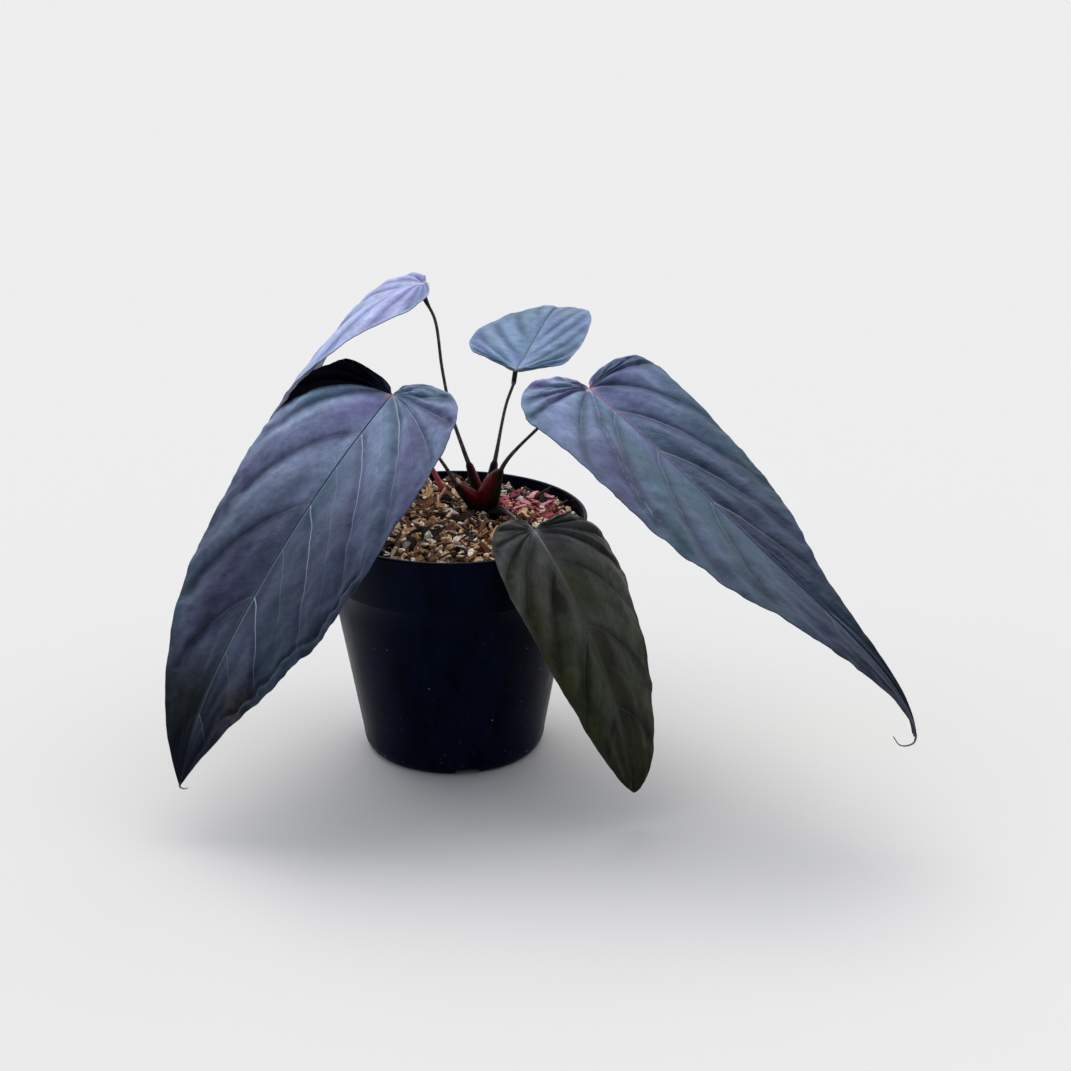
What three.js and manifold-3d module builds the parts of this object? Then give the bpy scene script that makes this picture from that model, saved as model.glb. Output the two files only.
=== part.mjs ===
// A potted anthurium papillilaminum: five long velvet leaves on thin stalks rise from one crown
// that stands in a chunky potting mix in a dark nursery pot.
// Millimetres, +Z up, origin on the ground in the middle of the pot, -Y to the front.

import * as THREE from "three";
import { mergeVertices } from "three/addons/utils/BufferGeometryUtils.js";
import Module from "manifold-3d";

const wasm = await Module();
wasm.setup();

// Clearance between neighbouring pieces
const GAP = 0.3;

// Pot: a tapered body below a wider collar, with a rounded heel
const POT_HEIGHT = 109;
const RIM_RADIUS = 60;
const COLLAR_FOOT = { radius: 57, height: 83.5 };
const BODY_TOP_RADIUS = 54.5;
const HEEL = { radius: 41.2, height: 8 };
const FOOT_RADIUS = 36.5;
const POT_WALL = 1.4;
const POT_FLOOR = 1.6;
const POT_SIDES = 48;
const COLLAR_STEP = 1.5;

// Drain notches through the edge of the foot
const NOTCH = { count: 4, firstAngle: -80, height: 3.2, footWidth: 13.5, topWidth: 9.5, start: 25, end: 46 };

// Potting mix: its top lies below the rim, higher at the back left than at the right
const MIX_HEIGHT = 103;
const MIX_SLOPE = { x: -0.035, y: 0.004 };
const MIX_RINGS = 7;
const CHIPS = { count: 90, seed: 41, sunk: 0.35 };
const CHIP_KINDS = [
  { share: 0.4, size: [14, 4.4, 3], tilt: 16, taper: 0.55 },
  { share: 0.35, size: [11, 8, 3.6], tilt: 12, taper: 0.75 },
  { share: 0.25, size: [7.5, 7, 5.2], tilt: 25, taper: 0.8 },
];

// Crown: a short rootstock in a plain hole, from which the sheathed stalk bases grow
const CROWN = { x: 14, y: 17, top: 108, radius: 6.4, depth: 12, sides: 10 };
const SHEATH_LENGTH = 32;
const SHEATH_RADIUS = { foot: 4.8, end: 1.6 };
const STALK_RADIUS = { foot: 1.2, middle: 0.85, neck: 0.75, knee: 1.2 };
const KNEE_LENGTH = 9;
const STALK_SIDES = 8;

// A young red shoot beside the crown
const SHOOT = { path: [[-2, 34, 92], [-3.5, 34.5, 103], [-7.5, 37, 112], [-11.5, 41, 119]], foot: 2.6, tip: 0.9 };

// Leaves
const BLADE = 0.8;
const QUILT_HEIGHT = 1.3;
const RIB_GROOVE = 0.7;
const EDGE_WAVE = 0.4;
const LOBE_REACH = 20;
const MARGIN_STEPS = [4, 6, 10];
const COLUMNS = 6;
const VEIN_SWEEP = { share: 0.27, power: 1.7 };
const VEIN_BEND = { across: 0.62, along: 0.25 };

// Each leaf: where stalk and blade meet, the blade's length, the heading and the dip of the midrib
// and the roll of the blade about it, in degrees at the base, in the middle and at the tip, what
// the tip adds to them, how far the basal lobes droop, how steeply the halves fold up at the
// midrib and how far each half arches down, the outline of each half, the way of the stalk, and how
// far its sheath widens towards +X, or towards -X where that is negative.
const LEAVES = [
  {
    name: "front_left",
    base: [-23.7, -30.6, 174.7],
    length: 189,
    heading: [-144, -142.5, -128.5],
    dip: [40, 51, 50],
    roll: [-8, -12, -27],
    tip: { turn: 8.5, drop: 25 },
    droop: 14,
    fold: 13,
    left: { width: 62, lobe: 10, widest: 38.5, full: 0.54, hollow: 0.46, taper: 0.38, arch: 4 },
    right: { width: 50, lobe: 4.3, widest: 25.5, full: 0.41, hollow: 0.36, taper: 0.24, arch: 24 },
    wave: 0.4,
    stalk: [[12, 16, 104], [8, 12.5, 111], [3.5, 6.5, 118.5], [-2.2, -2, 131.5], [-7.5, -10, 143], [-15, -20, 159.5]],
    wing: 2.5,
    color: 0x2b3442,
  },
  {
    name: "front_right",
    base: [60.4, -4.5, 169.4],
    length: 216,
    heading: [-35.5, -49, -19],
    dip: [29, 23, 29],
    roll: [5, -2, 32],
    tip: { turn: 21, drop: 53.5 },
    droop: 11.5,
    fold: 15,
    left: { width: 36.5, lobe: 4.4, widest: 9, full: 0.59, hollow: 0.16, taper: 0.56, arch: 11 },
    right: { width: 54.5, lobe: 11.5, widest: 14.3, full: 0.72, hollow: 0.64, taper: 0.59, arch: 15 },
    wave: 2.1,
    stalk: [[16, 15, 104], [18.5, 13.5, 113], [22.6, 11, 128], [37.9, 5, 147.5], [50, 0, 161]],
    wing: -5,
    color: 0x343e4e,
  },
  {
    name: "low_front",
    base: [36.7, -45, 119],
    length: 122,
    heading: [-44.5, -39, -47.5],
    dip: [41.5, 62.5, 73],
    roll: [1, 3, 3.5],
    tip: { turn: -12, drop: 7 },
    droop: 9.5,
    fold: 7.5,
    left: { width: 34, lobe: 1.8, widest: 24.3, full: 0.19, hollow: 0.42, taper: 0.01, arch: 16.5 },
    right: { width: 29.3, lobe: 7.4, widest: 29.3, full: 0.47, hollow: 0.47, taper: 0.13, arch: 31.5 },
    wave: 1.3,
    stalk: [[17, 13, 103], [20, 6, 108.5], [25, -8, 112.5], [29.5, -25, 114.5], [32.5, -37, 113.5]],
    wing: 0,
    color: 0x23271f,
  },
  {
    name: "back_right",
    base: [27.9, 41, 164],
    length: 100,
    heading: [76.5, 75.5, 84],
    dip: [-1, -8, 39.5],
    roll: [8.5, -0.5, 17.5],
    tip: { turn: 4.5, drop: -6.5 },
    droop: 9,
    fold: 11,
    left: { width: 26.5, lobe: 0.6, widest: 21.5, full: 0.34, hollow: 0.04, taper: 0.52, arch: 1 },
    right: { width: 24.5, lobe: -4, widest: 35, full: 0.57, hollow: 0.31, taper: 0.43, arch: 11 },
    wave: 0.9,
    stalk: [[15, 19, 104], [16.5, 20, 115], [19.3, 23, 129], [23.7, 32, 149.5], [27, 38, 157.5]],
    wing: 0,
    color: 0x5d7286,
  },
  {
    name: "back_left",
    base: [-12, 30, 207],
    length: 142,
    heading: [184, 150, 128],
    dip: [9, 56, 39],
    roll: [6, -8, 10],
    tip: { turn: 0, drop: 0 },
    droop: 60,
    fold: 4.5,
    left: { width: 29, lobe: 2, widest: 12, full: 0.35, hollow: 0.3, taper: 0.3, arch: 30 },
    right: { width: 25, lobe: 1, widest: 18, full: 0.45, hollow: 0.3, taper: 0.3, arch: 6 },
    wave: 1.7,
    stalk: [[12.5, 18.5, 104], [9.5, 18.5, 119], [5, 20, 132], [-0.5, 24, 148], [-4.5, 27, 168], [-7.5, 29.5, 190]],
    wing: 0,
    color: 0x8e9bb8,
  },
];

const POT_COLOR = 0x10131f;
const MIX_COLOR = 0x9c8468;
const CROWN_COLOR = 0x33161c;
const STALK_COLOR = 0x2c2226;
const SHOOT_COLOR = 0x7c2b33;

const toRadians = THREE.MathUtils.degToRad;

// Repeatable random numbers from 0 to 1
function randomFrom(seed) {
  let state = seed;
  return () => {
    state = (state * 1664525 + 1013904223) % 4294967296;
    return state / 4294967296;
  };
}

// A closed geometry as a solid for joining and cutting
function toSolid(geometry) {
  const bare = new THREE.BufferGeometry();
  bare.setAttribute("position", geometry.getAttribute("position").clone());
  if (geometry.index) {
    bare.setIndex(geometry.index.clone());
  }
  const merged = mergeVertices(bare, 1e-4);
  const mesh = new wasm.Mesh({
    numProp: 3,
    vertProperties: new Float32Array(merged.getAttribute("position").array),
    triVerts: new Uint32Array(merged.index.array),
  });
  mesh.merge();
  return new wasm.Manifold(mesh);
}

function toGeometry(solid) {
  const mesh = solid.getMesh();
  const geometry = new THREE.BufferGeometry();
  geometry.setAttribute("position", new THREE.Float32BufferAttribute(mesh.vertProperties, 3));
  geometry.setIndex(new THREE.Uint32BufferAttribute(mesh.triVerts, 1));
  return geometry;
}

function namedMesh(name, geometry, color, roughness) {
  const material = new THREE.MeshStandardMaterial({ color, roughness, metalness: 0, flatShading: true });
  const mesh = new THREE.Mesh(geometry, material);
  mesh.name = name;
  return mesh;
}

// Indexed geometry from a list of points and a list of triangles
function meshFrom(points, triangles) {
  const geometry = new THREE.BufferGeometry();
  geometry.setAttribute("position", new THREE.Float32BufferAttribute(points.flatMap((p) => p.toArray()), 3));
  geometry.setIndex(triangles.flat());
  return geometry;
}

// Bar along a curve between two lengths, with its radius as a function of the length and the angle
function sweep(curve, from, to, steps, sides, radiusAt) {
  const total = curve.getLength();
  const points = [];
  const triangles = [];
  let side = new THREE.Vector3(1, 0, 0);
  for (let i = 0; i <= steps; i += 1) {
    const length = from + ((to - from) * i) / steps;
    const place = Math.min(1, length / total);
    const along = curve.getTangentAt(place);
    const center = curve.getPointAt(place);
    side = side.clone().addScaledVector(along, -side.dot(along)).normalize();
    const other = new THREE.Vector3().crossVectors(along, side);
    for (let k = 0; k < sides; k += 1) {
      const angle = (2 * Math.PI * k) / sides;
      const radius = radiusAt(length, angle);
      points.push(
        center
          .clone()
          .addScaledVector(side, radius * Math.cos(angle))
          .addScaledVector(other, radius * Math.sin(angle)),
      );
    }
  }
  for (let i = 0; i < steps; i += 1) {
    for (let k = 0; k < sides; k += 1) {
      const a = i * sides + k;
      const b = i * sides + ((k + 1) % sides);
      triangles.push([a, b, b + sides], [a, b + sides, a + sides]);
    }
  }
  for (let k = 1; k < sides - 1; k += 1) {
    const last = steps * sides;
    triangles.push([0, k + 1, k], [last, last + k, last + k + 1]);
  }
  return meshFrom(points, triangles);
}

// Pot outline from the middle of the foot up to the rim, as radius and height
function outerWall() {
  const heel = [];
  for (let i = 0; i <= 4; i += 1) {
    const angle = (Math.PI / 2) * (i / 4);
    const radius = FOOT_RADIUS + (HEEL.radius - FOOT_RADIUS) * Math.sin(angle);
    heel.push([radius, HEEL.height * (1 - Math.cos(angle))]);
  }
  return [
    ...heel,
    [BODY_TOP_RADIUS, COLLAR_FOOT.height - COLLAR_STEP],
    [COLLAR_FOOT.radius - 0.8, COLLAR_FOOT.height],
    [COLLAR_FOOT.radius, COLLAR_FOOT.height + 1],
    [RIM_RADIUS, POT_HEIGHT - 0.7],
    [RIM_RADIUS - 0.3, POT_HEIGHT],
  ];
}

// Inside of the pot from the floor up, drawn in by an extra clearance
function innerWall(clearance) {
  const inset = POT_WALL + clearance;
  const slope = (RIM_RADIUS - COLLAR_FOOT.radius) / (POT_HEIGHT - COLLAR_FOOT.height);
  const stepTop = COLLAR_FOOT.height + POT_WALL + 0.6 + clearance;
  return [
    [FOOT_RADIUS + 1 - inset, POT_FLOOR + clearance],
    [HEEL.radius - inset, HEEL.height + 1],
    [BODY_TOP_RADIUS - inset, COLLAR_FOOT.height - COLLAR_STEP + 0.6],
    [COLLAR_FOOT.radius + slope * (stepTop - COLLAR_FOOT.height) - inset, stepTop],
    [RIM_RADIUS - inset - 0.2, POT_HEIGHT],
  ];
}

function lathe(profile) {
  return new THREE.LatheGeometry(profile.map(([r, z]) => new THREE.Vector2(r, z)), POT_SIDES).rotateX(Math.PI / 2);
}

// One drain notch as a bar with a trapezoid section, laid outwards
function notchBar(angle) {
  const half = NOTCH.footWidth / 2;
  const top = NOTCH.topWidth / 2;
  const shape = new THREE.Shape();
  shape.moveTo(-half, -1);
  shape.lineTo(half, -1);
  shape.lineTo(half, 0);
  shape.lineTo(top, NOTCH.height * 0.85);
  shape.lineTo(top * 0.7, NOTCH.height);
  shape.lineTo(-top * 0.7, NOTCH.height);
  shape.lineTo(-top, NOTCH.height * 0.85);
  shape.lineTo(-half, 0);
  const bar = new THREE.ExtrudeGeometry(shape, { depth: NOTCH.end - NOTCH.start, bevelEnabled: false });
  return bar
    .rotateX(Math.PI / 2)
    .rotateZ(Math.PI)
    .translate(0, NOTCH.start, 0)
    .rotateZ(toRadians(angle - 90));
}

function makePot() {
  const profile = [[0, 0], ...outerWall(), ...innerWall(0).reverse(), [0, POT_FLOOR]];
  let pot = toSolid(lathe(profile));
  for (let i = 0; i < NOTCH.count; i += 1) {
    pot = pot.subtract(toSolid(notchBar(NOTCH.firstAngle + (360 * i) / NOTCH.count)));
  }
  return namedMesh("pot", toGeometry(pot), POT_COLOR, 0.35);
}

// Height of the potting mix, gently uneven
function mixHeight(x, y) {
  const slope = MIX_SLOPE.x * x + MIX_SLOPE.y * y;
  return MIX_HEIGHT + slope + 0.7 * Math.sin(x / 9 + 1) * Math.cos(y / 11) + 0.4 * Math.sin(y / 6 + x / 13);
}

// Potting mix without its chips: it fills the pot up to its uneven top
function mixBody() {
  const wall = innerWall(GAP);
  const [lower, upper] = wall.slice(-2);
  const edgeRadius = lower[0] + ((upper[0] - lower[0]) * (MIX_HEIGHT - lower[1])) / (upper[1] - lower[1]);
  const profile = [[0, wall[0][1]], ...wall.slice(0, -1)];
  for (let i = 0; i < MIX_RINGS; i += 1) {
    profile.push([edgeRadius * (1 - i / MIX_RINGS), MIX_HEIGHT]);
  }
  profile.push([0, MIX_HEIGHT]);
  const geometry = lathe(profile);
  const places = geometry.getAttribute("position");
  for (let i = 0; i < places.count; i += 1) {
    const x = places.getX(i);
    const y = places.getY(i);
    const inside = Math.hypot(x, y) < edgeRadius - 1;
    if (places.getZ(i) > MIX_HEIGHT - 0.5 && inside) {
      places.setZ(i, mixHeight(x, y));
    }
  }
  return { body: toSolid(geometry), edgeRadius };
}

// One chip: a block narrowed to one end, turned and tipped at random
function chip(kind, x, y, random) {
  const grow = 0.8 + 0.45 * random();
  const [length, width, height] = kind.size.map((size) => size * grow);
  const block = new THREE.BoxGeometry(length, width, height);
  const places = block.getAttribute("position");
  for (let i = 0; i < places.count; i += 1) {
    if (places.getX(i) > 0) {
      places.setY(i, places.getY(i) * kind.taper);
      places.setZ(i, places.getZ(i) * kind.taper);
    }
  }
  const tip = toRadians(kind.tilt);
  block.rotateX((random() - 0.5) * 2 * tip);
  block.rotateY((random() - 0.5) * 2 * tip);
  block.rotateZ(random() * 2 * Math.PI);
  return block.translate(x, y, mixHeight(x, y) + height * (0.5 - CHIPS.sunk) - 0.2);
}

function pickKind(value) {
  let sum = 0;
  for (const kind of CHIP_KINDS) {
    sum += kind.share;
    if (value < sum) {
      return kind;
    }
  }
  return CHIP_KINDS[CHIP_KINDS.length - 1];
}

// Room that the pot leaves for the mix and its chips
function potRoom() {
  const wall = innerWall(GAP);
  const last = wall[wall.length - 1];
  const top = POT_HEIGHT + 8;
  return toSolid(lathe([[0, wall[0][1]], ...wall, [last[0], top], [0, top]]));
}

function makeMix(holes) {
  const random = randomFrom(CHIPS.seed);
  const { body, edgeRadius } = mixBody();
  const goldenAngle = Math.PI * (3 - Math.sqrt(5));
  let mix = body;
  for (let i = 0; i < CHIPS.count; i += 1) {
    const radius = (edgeRadius - 1.5) * Math.sqrt((i + 0.5) / CHIPS.count);
    const angle = i * goldenAngle + 0.4 * (random() - 0.5);
    const kind = pickKind(random());
    mix = mix.add(toSolid(chip(kind, radius * Math.cos(angle), radius * Math.sin(angle), random)));
  }
  mix = mix.intersect(potRoom());
  for (const hole of holes) {
    mix = mix.subtract(hole);
  }
  const parts = mix.decompose();
  parts.sort((a, b) => b.volume() - a.volume());
  return namedMesh("potting_mix", toGeometry(parts[0]), MIX_COLOR, 0.95);
}

// A value that runs smoothly through base, middle and tip
function through([base, middle, tip], t) {
  return base + (4 * middle - 3 * base - tip) * t + (2 * base - 4 * middle + 2 * tip) * t * t;
}

// Directions along, across and out of the blade at a distance from its base
function bladeFrame(leaf, distance) {
  const t = THREE.MathUtils.clamp(distance / leaf.length, 0, 1);
  const behind = THREE.MathUtils.clamp(-distance / LOBE_REACH, 0, 1.5);
  const heading = toRadians(through(leaf.heading, t) + leaf.tip.turn * t ** 6);
  const dip = toRadians(through(leaf.dip, t) + leaf.tip.drop * t ** 6 - leaf.droop * behind);
  const roll = toRadians(through(leaf.roll, t));
  const along = new THREE.Vector3(
    Math.cos(dip) * Math.cos(heading),
    Math.cos(dip) * Math.sin(heading),
    -Math.sin(dip),
  );
  const level = new THREE.Vector3(-Math.sin(heading), Math.cos(heading), 0);
  const across = level.applyAxisAngle(along, roll);
  const out = new THREE.Vector3().crossVectors(along, across);
  return { along, across, out };
}

// Point of the midrib at a distance from the base, which is negative among the lobes
function ribPoint(leaf, distance) {
  const steps = Math.max(1, Math.ceil(Math.abs(distance) / 2));
  const point = new THREE.Vector3(...leaf.base);
  for (let i = 0; i < steps; i += 1) {
    point.addScaledVector(bladeFrame(leaf, ((i + 0.5) / steps) * distance).along, distance / steps);
  }
  return point;
}

// Point of the blade: across and along its flat outline, lifted off the arched surface
function bladePoint(leaf, half, sign, x, y, lift) {
  const { across, out } = bladeFrame(leaf, y);
  const bend = toRadians(half.arch) / half.width;
  const fold = toRadians(leaf.fold);
  const slope = fold - bend * x;
  const side = (Math.sin(fold) - Math.sin(slope)) / bend;
  const rise = (Math.cos(slope) - Math.cos(fold)) / bend;
  return ribPoint(leaf, y)
    .addScaledVector(across, sign * (side - lift * Math.sin(slope)))
    .addScaledVector(out, rise + lift * Math.cos(slope));
}

// Half outline of a blade from the sinus round the lobe to the tip
function halfOutline(leaf, half) {
  const { width, lobe, widest, full, hollow, taper } = half;
  const rest = leaf.length - widest;
  const corners = [
    [[0, 0], [0.04 * width, -0.75 * lobe], [0.18 * width, -lobe], [0.46 * width, -lobe]],
    [[0.46 * width, -lobe], [0.8 * width, -lobe], [width, widest - 0.62 * (widest + lobe)], [width, widest]],
    [[width, widest], [width, widest + full * rest], [hollow * width, leaf.length - taper * rest], [0, leaf.length]],
  ];
  const outline = [];
  corners.forEach((corner, i) => {
    const curve = new THREE.CubicBezierCurve(...corner.map(([x, y]) => new THREE.Vector2(x, y)));
    for (let k = 1; k <= MARGIN_STEPS[i]; k += 1) {
      outline.push(curve.getPoint(k / MARGIN_STEPS[i]));
    }
  });
  return outline;
}

// Distance along the midrib at which each vein row starts, the same for both halves. Side veins
// sweep forward, so all rows that end in the first part of the blade fan out from its base.
function rowStarts(leaf) {
  const [left, right] = [leaf.left, leaf.right].map((half) => halfOutline(leaf, half));
  return left.map((edge, i) => {
    const reach = (edge.y + right[i].y) / (2 * leaf.length);
    const step = Math.max(0, reach - VEIN_SWEEP.share) / (1 - VEIN_SWEEP.share);
    return step ** VEIN_SWEEP.power * leaf.length;
  });
}

// Rows of flat points that follow the side veins, each from the midrib to the margin
function veinRows(leaf, half) {
  const starts = rowStarts(leaf);
  return halfOutline(leaf, half).map((edge, i) => {
    const start = new THREE.Vector2(0, starts[i]);
    const control = new THREE.Vector2(
      edge.x * VEIN_BEND.across,
      start.y + (edge.y - start.y) * VEIN_BEND.along,
    );
    const vein = new THREE.QuadraticBezierCurve(start, control, edge);
    return Array.from({ length: COLUMNS + 1 }, (_, k) => vein.getPoint(k / COLUMNS));
  });
}

// Relief of the upper face: it swells between the veins, sinks at the midrib and waves at the edge
function relief(leaf, row, rows, t) {
  const swell = row % 2 === 1 ? QUILT_HEIGHT * 4 * t * (1 - t) : 0;
  const groove = -RIB_GROOVE * Math.max(0, 1 - 4 * t);
  const fade = Math.sin(Math.PI * Math.min(1, (row + 1) / rows));
  return groove + fade * (swell + EDGE_WAVE * t * t * Math.sin(1.9 * row + leaf.wave));
}

// A leaf blade: upper and lower face with the same triangles, joined round the margin
function makeBlade(leaf) {
  const points = [];
  const upper = [];
  const edges = [];

  function addPoint(half, sign, x, y, lift) {
    points.push(bladePoint(leaf, half, sign, x, y, lift), bladePoint(leaf, half, sign, x, y, lift - BLADE));
    return points.length - 2;
  }

  function addFace(a, b, c) {
    if (a !== b && b !== c && a !== c) {
      upper.push([a, b, c]);
    }
  }

  const base = addPoint(leaf.left, 1, 0, 0, -RIB_GROOVE);
  const tip = addPoint(leaf.left, 1, 0, leaf.length, 0);
  const ribs = new Map();
  for (const sign of [1, -1]) {
    const half = sign > 0 ? leaf.left : leaf.right;
    const rows = veinRows(leaf, half);
    const grid = rows.map((row, i) =>
      row.map((place, k) => {
        if (i === rows.length - 1) {
          return tip;
        }
        if (k === 0 && place.y === 0) {
          return base;
        }
        if (k === 0) {
          if (!ribs.has(i)) {
            ribs.set(i, addPoint(half, sign, 0, place.y, relief(leaf, i, rows.length, 0)));
          }
          return ribs.get(i);
        }
        return addPoint(half, sign, place.x, place.y, relief(leaf, i, rows.length, k / COLUMNS));
      }),
    );
    for (let i = 0; i + 1 < grid.length; i += 1) {
      for (let k = 0; k < COLUMNS; k += 1) {
        const [a, b, c, d] = [grid[i][k], grid[i + 1][k], grid[i + 1][k + 1], grid[i][k + 1]];
        if (sign > 0) {
          addFace(a, b, c);
          addFace(a, c, d);
        } else {
          addFace(a, c, b);
          addFace(a, d, c);
        }
      }
    }
    const border = [...grid[0], ...grid.slice(1).map((row) => row[COLUMNS])];
    edges.push(sign > 0 ? border : border.reverse());
  }
  const triangles = upper.flatMap(([a, b, c]) => [[a, b, c], [b + 1, a + 1, c + 1]]);
  for (const border of edges) {
    for (let i = 0; i + 1 < border.length; i += 1) {
      const [a, b] = [border[i], border[i + 1]];
      if (a !== b) {
        triangles.push([a, b, b + 1], [a, b + 1, a + 1]);
      }
    }
  }
  return namedMesh(`blade_${leaf.name}`, meshFrom(points, triangles), leaf.color, 0.7);
}

// Way of a stalk from inside the crown to just under the blade's base
function stalkCurve(leaf) {
  const root = new THREE.Vector3(CROWN.x, CROWN.y, CROWN.top - CROWN.depth);
  const { out, along } = bladeFrame(leaf, 0);
  const clear = BLADE + RIB_GROOVE + GAP + 0.1;
  const end = new THREE.Vector3(...leaf.base).addScaledVector(out, -clear).addScaledVector(along, 1);
  const knee = end.clone().addScaledVector(out, -5);
  const points = [root, ...leaf.stalk.map((place) => new THREE.Vector3(...place)), knee, end];
  return new THREE.CatmullRomCurve3(points, false, "centripetal");
}

// Radius of a sheath, which tapers to the stalk and may widen to one side on the way
function sheathRadius(leaf, length, angle, extra) {
  const share = THREE.MathUtils.clamp(length / SHEATH_LENGTH, 0, 1);
  const wing = Math.max(0, leaf.wing * Math.cos(angle)) * Math.sin(Math.PI * share ** 1.3);
  return THREE.MathUtils.lerp(SHEATH_RADIUS.foot, SHEATH_RADIUS.end, share ** 0.8) + wing + extra;
}

// Rootstock and sheathed stalk bases as one body, or the room that they need
function crownSolid(extra) {
  const height = CROWN.depth + 2 * extra;
  const stock = new THREE.CylinderGeometry(CROWN.radius + extra, CROWN.radius * 0.8 + extra, height, CROWN.sides);
  stock.rotateX(Math.PI / 2).translate(CROWN.x, CROWN.y, CROWN.top - CROWN.depth);
  let crown = toSolid(stock);
  for (const leaf of LEAVES) {
    const curve = stalkCurve(leaf);
    const steps = 7;
    const end = SHEATH_LENGTH + extra;
    const radiusAt = (length, angle) => sheathRadius(leaf, length, angle, extra);
    const bar = sweep(curve, 0, end, steps, STALK_SIDES, radiusAt);
    crown = crown.add(toSolid(bar));
  }
  return crown;
}

function makeStalk(leaf) {
  const curve = stalkCurve(leaf);
  const total = curve.getLength();
  const start = SHEATH_LENGTH + GAP;
  const steps = Math.ceil((total - start) / 7);
  const radiusAt = (length) => {
    const share = (length - start) / (total - start);
    const slim = THREE.MathUtils.lerp(STALK_RADIUS.foot, STALK_RADIUS.middle, Math.min(1, share * 3));
    const body = THREE.MathUtils.lerp(slim, STALK_RADIUS.neck, share);
    const knee = THREE.MathUtils.smoothstep(length, total - KNEE_LENGTH, total - KNEE_LENGTH / 2);
    return THREE.MathUtils.lerp(body, STALK_RADIUS.knee, knee);
  };
  return namedMesh(`stalk_${leaf.name}`, sweep(curve, start, total, steps, STALK_SIDES, radiusAt), STALK_COLOR, 0.5);
}

function shootSolid(extra) {
  const curve = new THREE.CatmullRomCurve3(SHOOT.path.map((place) => new THREE.Vector3(...place)));
  const total = curve.getLength();
  const radiusAt = (length) => THREE.MathUtils.lerp(SHOOT.foot, SHOOT.tip, length / total) + extra;
  return sweep(curve, 0, total, 8, STALK_SIDES, radiusAt);
}

// The room that the shoot needs also has to reach below its foot
function shootHole() {
  const [x, y, z] = SHOOT.path[0];
  const foot = new THREE.CylinderGeometry(SHOOT.foot + GAP, SHOOT.foot + GAP, 2, CROWN.sides);
  foot.rotateX(Math.PI / 2).translate(x, y, z);
  return toSolid(shootSolid(GAP)).add(toSolid(foot));
}

const plant = new THREE.Group();
plant.add(makePot());
plant.add(makeMix([crownSolid(GAP), shootHole()]));
plant.add(namedMesh("crown", toGeometry(crownSolid(0)), CROWN_COLOR, 0.45));
plant.add(namedMesh("red_shoot", shootSolid(0), SHOOT_COLOR, 0.5));
for (const leaf of LEAVES) {
  plant.add(makeStalk(leaf));
  plant.add(makeBlade(leaf));
}

export default plant;
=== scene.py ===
"""Looks of a potted anthurium papillilaminum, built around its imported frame.

Five long velvet leaves on thin stalks rise from one crown in a chunky mix in a dark nursery
pot. Sizes are real millimetres. Only finished meshes, lights and the camera are in metres.
"""

import sys
import logging
import math
import random
from collections.abc import Callable, Sequence
from dataclasses import dataclass, replace
from enum import Enum
from typing import Any

import bpy
import numpy as np
from mathutils import Euler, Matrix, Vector, noise


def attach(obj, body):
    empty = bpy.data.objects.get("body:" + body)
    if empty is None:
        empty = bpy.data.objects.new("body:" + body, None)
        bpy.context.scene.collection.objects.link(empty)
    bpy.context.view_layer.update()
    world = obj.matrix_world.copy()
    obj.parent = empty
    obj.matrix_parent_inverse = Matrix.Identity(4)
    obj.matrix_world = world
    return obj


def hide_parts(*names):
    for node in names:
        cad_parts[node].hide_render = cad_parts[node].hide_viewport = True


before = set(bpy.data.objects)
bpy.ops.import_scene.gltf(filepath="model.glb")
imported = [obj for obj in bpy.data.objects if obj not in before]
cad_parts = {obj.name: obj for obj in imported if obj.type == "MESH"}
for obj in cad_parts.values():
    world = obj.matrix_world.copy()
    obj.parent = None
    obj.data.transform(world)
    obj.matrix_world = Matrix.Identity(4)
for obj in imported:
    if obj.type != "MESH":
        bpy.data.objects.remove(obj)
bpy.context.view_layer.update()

LOG = logging.getLogger("anthurium")
MM = 0.001

Colour = tuple[float, float, float, float]
Place = tuple[float, float, float]
Stops = Sequence[tuple[float, str]]


# Colours and nodes


def linear(hex_colour: str) -> Colour:
    """Turns an sRGB hex colour to the linear colour that a shader socket takes.

    Args:
        hex_colour: Six hex digits with a leading hash.

    Returns:
        Red, green, blue and full alpha, linear.
    """
    parts = [int(hex_colour[i : i + 2], 16) / 255 for i in (1, 3, 5)]
    red, green, blue = (v / 12.92 if v <= 0.04045 else ((v + 0.055) / 1.055) ** 2.4 for v in parts)
    return (red, green, blue, 1.0)


def add_node(
    tree: bpy.types.NodeTree,
    kind: str,
    inputs: dict[str | int, Any] | None = None,
    stops: Stops = (),
    **settings: Any,
) -> bpy.types.Node:
    """Adds one node with its settings, constants and links.

    Args:
        tree: Node tree of the material or world.
        kind: Blender's type name of the node.
        inputs: For each socket a constant, or another node's output socket to link from.
        stops: Positions and hex colours, for a node with a colour ramp.
        settings: Properties of the node.

    Returns:
        The new node.
    """
    node = tree.nodes.new(kind)
    for name, value in settings.items():
        setattr(node, name, value)
    for name, value in (inputs or {}).items():
        if isinstance(value, bpy.types.NodeSocket):
            tree.links.new(value, node.inputs[name])
        else:
            node.inputs[name].default_value = value
    if stops:
        elements = node.color_ramp.elements
        elements.remove(elements[1])
        elements[0].position = stops[0][0]
        elements[0].color = linear(stops[0][1])
        for position, colour in stops[1:]:
            elements.new(position).color = linear(colour)
    return node


def new_material(name: str) -> tuple[bpy.types.Material, bpy.types.NodeTree]:
    """Makes an empty node material.

    Args:
        name: Name of the real material.

    Returns:
        The material and its empty node tree.
    """
    material = bpy.data.materials.new(name)
    material.use_nodes = True
    material.node_tree.nodes.clear()
    return material, material.node_tree


# Meshes and lines


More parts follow.
